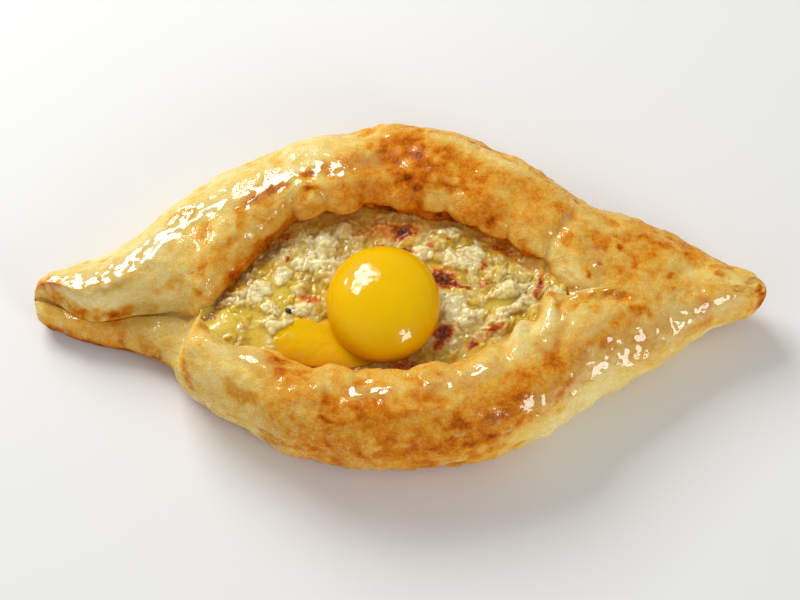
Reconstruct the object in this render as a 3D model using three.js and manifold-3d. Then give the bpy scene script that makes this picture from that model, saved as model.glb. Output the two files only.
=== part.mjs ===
// A boat-shaped cheese bread, baked open: two rolls of dough run along the sides, meet in a folded tip at
// each end, and hold a filling of curd cheese with an egg yolk and a little spilled yolk on it.
// Millimetres. +X runs along the bread, +Y across it, +Z up. It stands on z = 0.

import * as THREE from "three";
import { ParametricGeometry } from "three/addons/geometries/ParametricGeometry.js";
import { mergeVertices } from "three/addons/utils/BufferGeometryUtils.js";
import Module from "manifold-3d";

// ---- Driving dimensions ----------------------------------------------------------------------------

const HALF_LENGTH = 129; // from the middle to either tip
const RIM_HEIGHT = 38; // crest of the rolls at mid-length
const TIP_HEIGHT = 18; // crest of the dough at the tips
const CREST_POWER = 2.2; // the crest falls towards a tip as this power of the way there
const FAR_HALF_WIDTH = 25; // from the far roll's crest out to its side, at mid-length
const NEAR_HALF_WIDTH = [13.5, 19]; // the same for the near roll, at its left and right
const NEAR_WIDENS = [0, 55]; // the x between which it goes from the one to the other
const ROLL_NARROWING = 0.42; // share of the half width lost at a tip
const ROLL_NARROWING_POWER = 1.6;
const FLOOR_THICKNESS = 9; // dough under the filling
const FILLING_LEVEL = 24; // mean surface of the cheese
const GAP = 0.4; // clearance between pieces that touch

// The side edges seen from above, as [x, y] from tip to tip.
const FAR_EDGE = [
  [-129, 8], [-116, 13.4], [-101, 18], [-89, 25], [-78, 36], [-60, 48.6],
  [-32, 59.5], [0, 65], [24, 60], [49, 48], [70, 34], [87, 29], [108, 16.2], [121, 7], [129, 4],
];
const NEAR_EDGE = [
  [-129, -6.5], [-108, -13.8], [-86, -19.8], [-76, -23.5], [-71, -28.3], [-64, -36.5], [-54, -46.8],
  [-35, -58.9], [0, -64.5], [24, -61.5], [49, -51.8], [70, -37.8], [87, -27.5], [108, -11.4], [129, -2.4],
];

// The eye: the lens-shaped opening between the rolls.
const EYE_CENTRE_X = -8.5;
const EYE_HALF_LENGTH = 61.5;
const EYE_HALF_WIDTH = 30;
const EYE_RISE_LENGTH = 22; // over which its floor climbs to each corner
const EYE_RISE_INSIDE = 16; // the part of that climb inside the eye
const EYE_POWER = 2.6; // 2 gives a round lens, more a fuller middle
const EYE_CORNER_POWER = 0.95; // 0.5 gives round corners, 1 pointed ones
const SHELF = { x: 50, length: 7, width: 6 }; // widens the far side of the right corner, which is blunt

// The left tip is a flap of the far roll folded over a low wall of the near side.
const FLAP_START_X = -70; // the near roll begins here, with a crease against the low wall
const LOW_WALL_HEIGHT = 13;
const LOW_WALL_TIP_HEIGHT = 10;
const SEAM_DEPTH = 2; // groove between the flap's lip and the wall
const CREASE_WIDTH = 9;
const CREASE_SLANT = 0.45; // the crease leans towards the tip by this share of the way out
const CREASE_TOP_Y = -12; // beyond which it leans
const CREASE_REACH = 14; // the lean fades out this far along the bread

// At the right tip both rolls run together in one mound.
const MOUND_FROM_X = 50;
const MOUND_TO_X = 78;

// Bottom edges lift clear of the table at the tips.
const LEFT_TIP_LIFT = 1.5;
const RIGHT_TIP_LIFT = 6;
const TIP_LIFT_LENGTH = 34;
const TIP_ROUNDING = 6; // radius that closes each tip
const TIP_CENTRE_SHARE = 0.45; // of the crest's height, where the tip's round is centred

// Folds in the dough: a groove from one plan point to another.
const FOLDS = [
  { from: [54, -9], to: [76, -8], depth: 1.8, width: 3.0 }, // crease past the eye's right corner
  { from: [43, -26], to: [48, -14], depth: 1.8, width: 2.2 }, // between lobes of the near roll's lip
  { from: [-52, -33], to: [-44, -44], depth: 1.5, width: 3.0 }, // pinch in the near roll
  { from: [97, 4], to: [106, 7], depth: 1.5, width: 3.0 }, // dimple in the mound
  { from: [113, 2], to: [127, 1], depth: 1.4, width: 1.8 }, // pinched end of the right tip
];

// Rounded swellings of the rolls' inner lips.
const FAR_LIP_BULGES = [
  { x: -46, width: 5, out: 1.2 }, { x: -31.5, width: 4.2, out: 2.6 }, { x: -18.5, width: 6, out: 2.8 },
  { x: -0.5, width: 3.8, out: 1.8 }, { x: 10, width: 4, out: 1.2 }, { x: 24, width: 6.5, out: 2.0 },
  { x: 47, width: 7, out: 3.2 },
];
const NEAR_LIP_BULGES = [
  { x: -50, width: 8, out: 1.5 }, { x: -20, width: 9, out: 1.2 }, { x: 12, width: 7, out: 1.5 },
  { x: 29, width: 4.5, out: 2.5 }, { x: 40, width: 4, out: 3.2 }, { x: 52, width: 3.5, out: 3.0 },
];

const YOLK = { x: -5.6, y: -9.5, z: 28.5, halfX: 19.7, halfY: 21.4, halfZ: 13.5 };
const POOL = { x: -26, y: -20.5, z: 24.4, halfX: 17, halfY: 8.5, halfZ: 2.2, turn: -0.22 };
const SEED = { x: -38.2, y: -10.2, halfX: 1.5, halfY: 0.9, halfZ: 0.8, turn: -0.7 };

const CURD_COUNT = 30;
const CURD_SIZES = [2.2, 4.2]; // smallest and largest half-length
const CURD_FLATNESS = [0.85, 0.7]; // half-width and half-height, as shares of it

// Facets.
const STATIONS = 84; // along the crust
const STATION_CROWDING = 0.45; // 0 spaces them evenly, 1 as on a round arc
const SECTION_STEPS = { bottom: 3, outer: 8, inner: 9, floor: 5 }; // per half, and the floor once
const CHEESE_ACROSS = 18;
const CHEESE_WALL = 3;
const YOLK_FACETS = [24, 14]; // around and up
const POOL_FACETS = [20, 8];
const SEED_FACETS = [6, 4];

// ---- Small helpers ---------------------------------------------------------------------------------

const clamp01 = (t) => Math.min(1, Math.max(0, t));
const mix = (a, b, t) => a + (b - a) * t;
const smooth = (from, to, x) => {
  const t = clamp01((x - from) / (to - from));
  return t * t * (3 - 2 * t);
};
const bell = (x, centre, width) => Math.exp(-(((x - centre) / width) ** 2));
const range = (count) => Array.from({ length: count }, (_, i) => i);

// A curve through [x, y] points whose slopes never overshoot (monotone cubic).
function through(points) {
  const xs = points.map((p) => p[0]);
  const ys = points.map((p) => p[1]);
  const last = xs.length - 1;
  const rise = xs.slice(1).map((x, i) => (ys[i + 1] - ys[i]) / (x - xs[i]));
  const slope = xs.map((_, i) => {
    if (i === 0) return rise[0];
    if (i === last) return rise[last - 1];
    if (rise[i - 1] * rise[i] <= 0) return 0;
    return (2 * rise[i - 1] * rise[i]) / (rise[i - 1] + rise[i]);
  });
  return (x) => {
    let i = xs.findIndex((v) => v > x) - 1;
    if (i < 0) i = x < xs[0] ? 0 : last - 1;
    const step = xs[i + 1] - xs[i];
    const t = clamp01((x - xs[i]) / step);
    const t2 = t * t;
    const t3 = t2 * t;
    return (
      ys[i] * (2 * t3 - 3 * t2 + 1) +
      slope[i] * step * (t3 - 2 * t2 + t) +
      ys[i + 1] * (3 * t2 - 2 * t3) +
      slope[i + 1] * step * (t3 - t2)
    );
  };
}

// Repeatable draws from 0 to 1.
function seededDraws(seed) {
  let state = seed;
  return () => {
    state = (state * 1664525 + 1013904223) % 4294967296;
    return state / 4294967296;
  };
}

// A closed geometry from a function of (u, v) that wraps round in u and shrinks to a point at both ends
// of v. Only positions are kept, shared vertices are merged and collapsed triangles dropped.
function closedSurface(place, slices, stacks) {
  const outward = (u, v, target) => place(1 - u, v, target);
  const raw = new ParametricGeometry(outward, slices, stacks);
  raw.deleteAttribute("normal");
  raw.deleteAttribute("uv");
  return withoutCollapsed(mergeVertices(raw, 1e-3));
}

function withoutCollapsed(geometry) {
  const kept = [];
  const index = geometry.index.array;
  for (let i = 0; i < index.length; i += 3) {
    const [a, b, c] = [index[i], index[i + 1], index[i + 2]];
    if (a !== b && b !== c && a !== c) kept.push(a, b, c);
  }
  geometry.setIndex(kept);
  return geometry;
}

// ---- The dough's shape -----------------------------------------------------------------------------

const farEdge = through(FAR_EDGE);
const nearEdge = through(NEAR_EDGE);

const crestHeight = (x) => {
  const t = Math.abs(x) / HALF_LENGTH;
  return mix(RIM_HEIGHT, TIP_HEIGHT, t ** CREST_POWER);
};
const rollHalfWidth = (x, sign) => {
  const t = Math.abs(x) / HALF_LENGTH;
  const middle = sign > 0 ? FAR_HALF_WIDTH : mix(...NEAR_HALF_WIDTH, smooth(...NEAR_WIDENS, x));
  return middle * (1 - ROLL_NARROWING * t ** ROLL_NARROWING_POWER);
};

// How far the section at x has turned into the flap's low wall, and into the right tip's mound.
const isLowWall = (x) => smooth(FLAP_START_X + CREASE_WIDTH / 2, FLAP_START_X - CREASE_WIDTH / 2, x);
const isMound = (x) => smooth(MOUND_FROM_X, MOUND_TO_X, x);

// How open the eye is: 1 along its middle, 0 past its corners.
const eyeShare = (x) => (x - EYE_CENTRE_X) / EYE_HALF_LENGTH;
const eyeHalfWidth = (x) => {
  const open = Math.max(0, 1 - Math.abs(eyeShare(x)) ** EYE_POWER);
  return EYE_HALF_WIDTH * open ** EYE_CORNER_POWER;
};
const eyeOpen = (x) => {
  const inside = EYE_HALF_LENGTH - Math.abs(x - EYE_CENTRE_X);
  return smooth(EYE_RISE_INSIDE - EYE_RISE_LENGTH, EYE_RISE_INSIDE, inside);
};

// The line between the two sides: the middle of the eye, and past its corners the seam of the fold.
const seam = through([
  [-129, 2], [-119, -1.6], [-113.5, -5.1], [-106, -7.6], [-99.5, -6.7], [-91, -5], [-80, -5],
  [-73, -7.4], [-66, -11.6], [-58, -11.4], [-48, -6.2], [-38, -2.5], [-24, -2.5], [10, -3.5],
  [46, -3.8], [60, -5], [80, -3.5], [129, 0.5],
]);

const wallHeight = (x) => mix(LOW_WALL_HEIGHT, LOW_WALL_TIP_HEIGHT, smooth(-100, -HALF_LENGTH, x));
const nearHeight = (x) => mix(crestHeight(x), wallHeight(x), isLowWall(x));

// The height of the dough along that line, before the eye is sunk into it.
const seamHeight = (x) => {
  if (x > 0) return mix(FILLING_LEVEL + 2, crestHeight(x), isMound(x));
  return Math.min(FILLING_LEVEL + 2, nearHeight(x) - SEAM_DEPTH);
};
const floorHeight = (x) => mix(seamHeight(x), FLOOR_THICKNESS, eyeOpen(x));
const SEAM_HALF_WIDTH = 0.8;

const tipLift = (x) => {
  const lift = x < 0 ? LEFT_TIP_LIFT : RIGHT_TIP_LIFT;
  return lift * smooth(HALF_LENGTH - TIP_LIFT_LENGTH, HALF_LENGTH, Math.abs(x));
};

// One side of the section at x: where its crest, edge and inner foot lie. sign is +1 for the far side.
function side(x, sign) {
  const edge = sign > 0 ? farEdge(x) : nearEdge(x);
  const shelf = sign > 0 ? SHELF.width * bell(x, SHELF.x, SHELF.length) : 0;
  const inner = seam(x) + sign * Math.max(SEAM_HALF_WIDTH, eyeHalfWidth(x) + shelf);
  const whole = Math.abs(edge - inner);
  const rolled = Math.min(rollHalfWidth(x, sign), WALL_SHARE * whole);
  const walled = sign > 0 ? rolled : mix(rolled, WALL_SHARE * whole, isLowWall(x));
  const half = mix(walled, MOUND_SHARE * whole, isMound(x));
  const height = sign > 0 ? crestHeight(x) : nearHeight(x);
  const crest = edge - sign * half;
  const bulge = BULGE_SHARE * height;
  const ramp = sign > 0 ? bell(x, RAMP_X, RAMP_LENGTH) : 0;
  const fullness = mix(mix(EYE_WALL_FULLNESS, FLAP_FULLNESS, isLowWall(x)), RAMP_FULLNESS, ramp);
  return { edge, half, height, inner, crest, bulge, fullness, mound: isMound(x), sign };
}

// The shares of a side's width that its outer arc takes at the low wall and in the mound.
const WALL_SHARE = 0.82;
const MOUND_SHARE = 0.75;
const BULGE_SHARE = 0.46; // of a side's height, where it is widest
const EYE_WALL_FULLNESS = 2.6; // 2 is a plain quarter round, more is squarer
const FLAP_FULLNESS = 2.1;

// Near the eye's right corner the far roll's inner wall runs out as a slope.
const RAMP_X = 55;
const RAMP_LENGTH = 12;
const RAMP_FULLNESS = 1.5;

// Points of a section are rows [y, z, push in y, push in z]; the last two are the way relief moves the
// point, and 0 where there is none.

// The outer arc: turn runs from the table, -60 degrees, up to the crest, 90 degrees.
const TABLE_ANGLE = -Math.PI / 3;
function outerPoint(s, turn) {
  const rise = turn > 0 ? s.height - s.bulge : s.bulge / -Math.sin(TABLE_ANGLE);
  const [out, up] = [Math.cos(turn), Math.sin(turn)];
  const relief = smooth(-0.9, 0.2, turn);
  return [s.crest + s.sign * s.half * out, s.bulge + rise * up, s.sign * out * relief, up * relief];
}

// The inner quarter: a superellipse from the crest, turn 0, down to the inner foot, turn 90 degrees.
function innerPoint(s, turn, footHeight) {
  const power = 2 / s.fullness;
  const [across, up] = [Math.sin(turn), Math.max(0, Math.cos(turn))];
  const y = mix(s.crest, s.inner, across ** power);
  const z = footHeight + (s.height - footHeight) * up ** power;
  const relief = Math.min(1, 0.25 + 2 * up) * smooth(FILLING_LEVEL, FILLING_LEVEL + 6, z);
  const flat = s.mound;
  return [y, z, -s.sign * across * relief * (1 - flat), mix(up * relief, 1, flat)];
}

// Across the eye's floor, between its two feet.
function floorPoints(near, far, height) {
  const steps = SECTION_STEPS.floor;
  return range(steps - 1).map((i) => {
    return [mix(near.inner, far.inner, (i + 1) / steps), height, 0, near.mound];
  });
}

// The whole section at x, near side first: the bottom, up the near side, across the floor or seam,
// and down the far side.
function sectionPoints(x) {
  const near = side(x, -1);
  const far = side(x, 1);
  const floor = floorHeight(x);
  const { bottom, outer, inner } = SECTION_STEPS;
  const footOf = (s) => outerPoint(s, TABLE_ANGLE)[0];
  const middle = mix(footOf(near), footOf(far), 0.5);
  const half = (s) => [
    ...range(bottom).map((i) => [mix(middle, footOf(s), i / bottom), 0, 0, 0]),
    ...range(outer).map((i) => outerPoint(s, mix(TABLE_ANGLE, Math.PI / 2, i / outer))),
    ...range(inner + 1).map((i) => innerPoint(s, (Math.PI / 2) * (i / inner), floor)),
  ];
  return [...half(near), ...floorPoints(near, far, floor), ...half(far).reverse()];
}

// Soft lumps left by kneading and proving, as a height over the smooth dough.
function lumps(x, y) {
  return (
    0.5 * Math.sin(x / 6.1 + 0.6 * Math.sin(y / 9)) * Math.sin(y / 7.3 + 1.2) +
    0.35 * Math.sin(x / 10.7 + y / 13 + 2.1) +
    0.25 * Math.sin(x / 4.3 - y / 5.9)
  );
}

function foldDepth(x, y) {
  const along = FOLDS.map(({ from, to, depth, width }) => {
    const [dx, dy] = [to[0] - from[0], to[1] - from[1]];
    const t = clamp01(((x - from[0]) * dx + (y - from[1]) * dy) / (dx * dx + dy * dy));
    const away = Math.hypot(x - from[0] - t * dx, y - from[1] - t * dy);
    return depth * bell(away, 0, width);
  });
  return along.reduce((sum, depth) => sum + depth, 0);
}

// Stations lie closer together near the tips.
const stationX = (v) => HALF_LENGTH * mix(2 * v - 1, -Math.cos(Math.PI * v), STATION_CROWDING);

// Each tip closes as a quarter round.
function tipScale(x) {
  const past = TIP_ROUNDING - (HALF_LENGTH - Math.abs(x));
  return past <= 0 ? 1 : Math.sqrt(Math.max(0, 1 - (past / TIP_ROUNDING) ** 2));
}

// How far a lip swells into the eye at x, for a point pushed by pushY.
function lipBulge(x, y, pushY) {
  const isFar = y > seam(x);
  const inward = Math.max(0, isFar ? -pushY : pushY);
  const bulges = isFar ? FAR_LIP_BULGES : NEAR_LIP_BULGES;
  return inward * bulges.reduce((sum, b) => sum + b.out * bell(x, b.x, b.width), 0);
}

// The near roll's start leans along the crease.
function leaned(x, y) {
  return x + CREASE_SLANT * bell(x, FLAP_START_X, CREASE_REACH) * Math.min(0, y - CREASE_TOP_Y);
}

function placeCrust(u, v, target) {
  const x = stationX(v);
  const points = sectionPoints(x);
  const [y, z, pushY, pushZ] = points[Math.round(u * points.length) % points.length];
  const scale = tipScale(x);
  const tipY = mix(nearEdge(x), farEdge(x), 0.5);
  const tipZ = TIP_CENTRE_SHARE * crestHeight(x);
  const relief = lumps(x, y) - foldDepth(x, y) + lipBulge(x, y, pushY);
  target.set(
    leaned(x, y),
    mix(tipY, y + pushY * relief, scale),
    mix(tipZ, Math.max(0, z + pushZ * relief), scale) + tipLift(x),
  );
}

function crustGeometry() {
  const around = sectionPoints(0).length;
  return closedSurface(placeCrust, around, STATIONS);
}

// ---- The filling -----------------------------------------------------------------------------------

// Low undulations of the cheese, sinking a little where it meets the dough.
function cheeseHeight(x, y) {
  const across = Math.abs(y - seam(x)) / Math.max(1, eyeHalfWidth(x));
  const rough = 0.6 * Math.sin(x / 4.1 + 1) * Math.sin(y / 3.7) + 0.5 * Math.sin(x / 7 - y / 6);
  return FILLING_LEVEL + 0.8 + rough - 1.2 * smooth(0.7, 1, across);
}

// The cheese's section at x: its top from near to far, then the wall and floor of the eye, held clear.
function cheeseSection(x) {
  const near = side(x, -1);
  const far = side(x, 1);
  const floor = floorHeight(x);
  const wallPoints = (s) => {
    const share = clamp01((FILLING_LEVEL - 0.6 - floor) / (s.height - floor));
    const top = Math.acos(share ** (s.fullness / 2));
    return range(CHEESE_WALL + 1).map((i) => {
      const [y, z] = innerPoint(s, mix(top, Math.PI / 2, i / CHEESE_WALL), floor);
      return [y - s.sign * 2 * GAP, z + GAP * (1 + i / CHEESE_WALL)];
    });
  };
  const nearWall = wallPoints(near);
  const farWall = wallPoints(far);
  const top = range(CHEESE_ACROSS - 1).map((i) => {
    const y = mix(nearWall[0][0], farWall[0][0], (i + 1) / CHEESE_ACROSS);
    return [y, cheeseHeight(x, y)];
  });
  const bottom = floorPoints(near, far, floor + 2 * GAP).reverse();
  return [nearWall[0], ...top, ...farWall, ...bottom, ...nearWall.slice(1).reverse()];
}

// The cheese uses the crust's stations between the eye's corners.
const isInEye = (i) => Math.abs(eyeShare(stationX(i / STATIONS))) < 1 - 1 / EYE_HALF_LENGTH;
const CHEESE_FROM = range(STATIONS).findIndex(isInEye);
const CHEESE_TO = range(STATIONS).findLastIndex(isInEye);

function placeCheese(u, v, target) {
  const station = Math.round(mix(CHEESE_FROM, CHEESE_TO, v));
  const x = stationX(station / STATIONS);
  const points = cheeseSection(x);
  const isEnd = station === CHEESE_FROM || station === CHEESE_TO;
  const [y, z] = isEnd ? [seam(x), FILLING_LEVEL] : points[Math.round(u * points.length) % points.length];
  target.set(leaned(x, y), y, z);
}

// A rounded lens or dome: a sphere stretched to half sizes, turned about Z and put in place.
function stretchedSphere({ x, y, z, halfX, halfY, halfZ, turn = 0 }, facets, grow = 0) {
  const sphere = new THREE.SphereGeometry(1, ...facets);
  sphere.deleteAttribute("normal");
  sphere.deleteAttribute("uv");
  sphere.rotateX(Math.PI / 2);
  sphere.scale(halfX + grow, halfY + grow, halfZ + grow);
  sphere.rotateZ(turn);
  sphere.translate(x, y, z);
  return withoutCollapsed(mergeVertices(sphere, 1e-3));
}

// Curds, as [x, y, half-length], spread at random over the cheese and kept off yolk, pool and dough.
function curdPlaces() {
  const draw = seededDraws(41);
  const places = [];
  const isClear = (piece, x, y, reach) =>
    Math.hypot((x - piece.x) / (piece.halfX + reach), (y - piece.y) / (piece.halfY + reach)) > 1;
  while (places.length < CURD_COUNT) {
    const x = EYE_CENTRE_X + EYE_HALF_LENGTH * mix(-0.86, 0.84, draw());
    const y = seam(x) + eyeHalfWidth(x) * mix(-1, 1, draw());
    const size = mix(...CURD_SIZES, draw() ** 2);
    const room = eyeHalfWidth(x) - Math.abs(y - seam(x));
    const crowded = places.some((p) => Math.hypot(p[0] - x, p[1] - y) < 0.75 * (p[2] + size));
    if (room < size + 2.5 || crowded) continue;
    if (isClear(YOLK, x, y, size + 1) && isClear(POOL, x, y, size + 1)) places.push([x, y, size]);
  }
  return places;
}

// ---- Joining and cutting ---------------------------------------------------------------------------

const wasm = await Module();
wasm.setup();

const solidOf = (geometry) =>
  new wasm.Manifold(
    new wasm.Mesh({
      numProp: 3,
      vertProperties: new Float32Array(geometry.attributes.position.array),
      triVerts: new Uint32Array(geometry.index.array),
    }),
  );

function geometryOf(solid) {
  const { vertProperties, triVerts } = solid.getMesh();
  return new THREE.BufferGeometry()
    .setAttribute("position", new THREE.BufferAttribute(vertProperties, 3))
    .setIndex(new THREE.BufferAttribute(triVerts, 1));
}

function curdSolid([x, y, size]) {
  const lump = new THREE.IcosahedronGeometry(1, 0);
  lump.deleteAttribute("normal");
  lump.deleteAttribute("uv");
  lump.scale(size, CURD_FLATNESS[0] * size, CURD_FLATNESS[1] * size);
  lump.rotateZ(x + y);
  lump.translate(x, y, cheeseHeight(x, y));
  return solidOf(mergeVertices(lump, 1e-3));
}

function seedSolid() {
  const z = cheeseHeight(SEED.x, SEED.y) + 0.3 * SEED.halfZ;
  return solidOf(stretchedSphere({ ...SEED, z }, SEED_FACETS));
}

function cheeseGeometry() {
  const around = cheeseSection(0).length;
  let cheese = solidOf(closedSurface(placeCheese, around, CHEESE_TO - CHEESE_FROM));
  for (const place of curdPlaces()) cheese = cheese.add(curdSolid(place));
  cheese = cheese.add(seedSolid());
  const yolkSpace = solidOf(stretchedSphere(YOLK, YOLK_FACETS, GAP));
  const poolSpace = solidOf(stretchedSphere(POOL, POOL_FACETS, GAP));
  return geometryOf(cheese.subtract(yolkSpace).subtract(poolSpace));
}

// The spilled yolk, cut back from the whole one.
function poolGeometry() {
  const yolkSpace = solidOf(stretchedSphere(YOLK, YOLK_FACETS, 1.5 * GAP));
  return geometryOf(solidOf(stretchedSphere(POOL, POOL_FACETS)).subtract(yolkSpace));
}

// ---- The bread, assembled --------------------------------------------------------------------------

function piece(name, geometry, color, roughness) {
  geometry.computeVertexNormals();
  const material = new THREE.MeshStandardMaterial({ color, roughness, metalness: 0 });
  const mesh = new THREE.Mesh(geometry, material);
  mesh.name = name;
  return mesh;
}

const bread = new THREE.Group();
bread.add(piece("crust", crustGeometry(), 0xdc9b3c, 0.4));
bread.add(piece("cheese", cheeseGeometry(), 0xe6d69a, 0.45));
bread.add(piece("yolk", stretchedSphere(YOLK, YOLK_FACETS), 0xf2b400, 0.15));
bread.add(piece("spilled_yolk", poolGeometry(), 0xe9a808, 0.2));

export default bread;
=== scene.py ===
# %% [markdown]
# A boat-shaped cheese bread: two rolls of dough, a melted curd filling, a soft yolk and a little yolk that
# ran out of it. The packed CAD model is the frame: it says how large everything is and where it sits, and
# each finished surface below is built around it, in the same place.

# %% Load the frame
import math
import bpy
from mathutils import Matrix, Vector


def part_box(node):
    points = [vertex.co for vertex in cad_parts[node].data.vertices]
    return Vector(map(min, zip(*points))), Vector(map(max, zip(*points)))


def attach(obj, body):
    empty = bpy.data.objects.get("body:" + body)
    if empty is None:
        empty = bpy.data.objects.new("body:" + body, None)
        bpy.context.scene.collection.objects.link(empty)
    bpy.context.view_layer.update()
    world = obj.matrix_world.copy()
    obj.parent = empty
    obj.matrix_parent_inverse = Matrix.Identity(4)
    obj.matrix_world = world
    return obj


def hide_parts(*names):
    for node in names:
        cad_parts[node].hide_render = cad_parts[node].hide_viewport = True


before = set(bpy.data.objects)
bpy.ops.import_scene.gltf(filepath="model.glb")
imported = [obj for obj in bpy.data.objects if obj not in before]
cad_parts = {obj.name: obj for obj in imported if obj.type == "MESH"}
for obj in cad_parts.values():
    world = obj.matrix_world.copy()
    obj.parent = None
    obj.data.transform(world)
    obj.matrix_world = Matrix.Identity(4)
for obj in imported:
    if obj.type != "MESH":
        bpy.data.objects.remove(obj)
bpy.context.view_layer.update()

from types import SimpleNamespace

import bpy
import numpy as np
from mathutils import Vector

MM = 0.001  # lengths below are millimetres until a mesh is made
print("CAD nodes:", sorted(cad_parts))

# %% [markdown]
# Every shape here is arithmetic on whole arrays: a number for each point of a grid, all at once. A few
# small tools cover most of it. A blend goes from one value to another, a smooth step fades something in, a
# bell fades round a place, and a smooth curve runs through named points without overshooting them.


# %% Blends, steps, bells and curves
def mix(a, b, share):
    """a where share is 0, b where it is 1, and in proportion between."""
    return a + (b - a) * share


def smooth(start, end, value):
    """0 before start, 1 past end, and 3t^2 - 2t^3 between; start may be above end."""
    t = np.clip((value - start) / (end - start), 0, 1)
    return t * t * (3 - 2 * t)


def bell(value, centre, width):
    """1 at centre, falling as exp(-(distance / width)^2)."""
    return np.exp(-(((value - centre) / width) ** 2))


def through(points):
    """A cubic between each two of the points.

    Its slope at a point is the harmonic mean of the rises on both sides, and 0 at a top or a bottom.
    """
    xs, ys = np.array(points, float).T
    rise = np.diff(ys) / np.diff(xs)
    before, after = rise[:-1], rise[1:]
    total = np.where(before + after == 0, 1, before + after)
    inner = np.where(before * after > 0, 2 * before * after / total, 0)
    slope = np.concatenate([rise[:1], inner, rise[-1:]])

    def curve(x):
        i = np.clip(np.searchsorted(xs, x, side="right") - 1, 0, len(xs) - 2)
        width = xs[i + 1] - xs[i]
        t = np.clip((x - xs[i]) / width, 0, 1)
        return (
            ys[i] * (2 * t**3 - 3 * t**2 + 1)
            + slope[i] * width * (t**3 - 2 * t**2 + t)
            + ys[i + 1] * (3 * t**2 - 2 * t**3)
            + slope[i + 1] * width * (t**3 - t**2)
        )

    return curve


# %% [markdown]
# Dough is never smooth for long. Its unevenness comes from lattice noise: a random number sits at every
# corner of a grid of cubes, and a point inside a cube gets a soft blend of the eight. Adding finer and
# weaker layers gives lumps on lumps. The same seeds give the same bread each time.


# %% Noise
TABLE = 32  # cubes along each edge of the table of random numbers, which then repeats
LATTICE_SEED = 11
LATTICE_TURN = np.linalg.qr(np.random.default_rng(LATTICE_SEED).normal(size=(3, 3)))[0]
SHIFT_PER_SEED = 0.37  # cubes, so that the corners of two layers don't lie on each other


def noise(points, size, seed):
    """From -1 to 1: the eight corner values of each cube, size mm wide, blended by smooth weights."""
    table = np.random.default_rng(seed).uniform(-1, 1, (TABLE, TABLE, TABLE))
    cell = points @ LATTICE_TURN / size + SHIFT_PER_SEED * seed
    low = np.floor(cell).astype(int)
    t = cell - low
    t = t * t * (3 - 2 * t)
    total = np.zeros(points.shape[:-1])
    for corner in np.ndindex(2, 2, 2):
        weight = np.prod(np.where(corner, t, 1 - t), axis=-1)
        i, j, k = np.moveaxis((low + corner) % TABLE, -1, 0)
        total += weight * table[i, j, k]
    return total


# %% [markdown]
# A closed skin needs no box or sphere to start from. Rings of points, one after the other, are joined by
# four-sided faces, and one point closes each end. All that has to be right is the order of the points, so
# that every face looks outwards.


# %% From rings of points to a mesh
def closed_mesh(name, rings, start, end):
    """rings is (count, around, 3) in mm: quads join neighbouring rings, triangles join the end points."""
    count, around = rings.shape[:2]
    points = np.concatenate([rings.reshape(-1, 3), [start], [end]])
    index = np.arange(count * around).reshape(count, around)
    ahead = np.roll(index, -1, axis=1)
    quads = np.stack([index[:-1], ahead[:-1], ahead[1:], index[1:]], axis=-1).reshape(-1, 4)
    first = np.stack([np.full(around, len(points) - 2), ahead[0], index[0]], axis=-1)
    last = np.stack([np.full(around, len(points) - 1), index[-1], ahead[-1]], axis=-1)
    mesh = bpy.data.meshes.new(name)
    mesh.from_pydata((points * MM).tolist(), [], quads.tolist() + first.tolist() + last.tolist())
    mesh.shade_smooth()
    piece = bpy.data.objects.new(name, mesh)
    bpy.context.scene.collection.objects.link(piece)
    print(name, len(points), "points,", 2 * len(quads) + 2 * around, "triangles")
    return piece


def paint(piece, **fields):
    """Stores each field, one number for each ring point, as an attribute that a material can read."""
    for name, values in fields.items():
        attribute = piece.data.attributes.new(name, "FLOAT", "POINT")
        flat = np.asarray(values, float).ravel()
        ends = [flat[0], flat[-1]]
        attribute.data.foreach_set("value", np.concatenate([flat, ends]).astype(np.float32))


def outward(surface):
    """Unit normals of a grid that closes on itself in its second direction."""
    around = np.roll(surface, -1, axis=1) - np.roll(surface, 1, axis=1)
    along = np.gradient(surface, axis=0)
    normal = np.cross(around, along)
    return normal / np.maximum(np.linalg.norm(normal, axis=-1, keepdims=True), 1e-9)


def own_axes(dx, dy, turn, half_long, half_wide):
    """How far a point lies along and across a turned patch, as shares of the patch's two half sizes."""
    c, s = math.cos(turn), math.sin(turn)
    return (dx * c + dy * s) / half_long, (dy * c - dx * s) / half_wide


def turned(points, turn):
    """The points turned about the vertical."""
    c, s = math.cos(turn), math.sin(turn)
    return points @ np.array([[c, s, 0], [-s, c, 0], [0, 0, 1]])


# %% [markdown]
# The dough. On the real bread an oval sheet is rolled in from both long sides and the ends are pinched. The
# left end is a flap folded over the low near side, and at the right end both rolls run into one mound. So
# the bread is a section carried along its length: an outer arc from the table over the crest of each roll,
# an inner quarter down to the filling, and a floor between. The dimensions are those of the frame.

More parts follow.
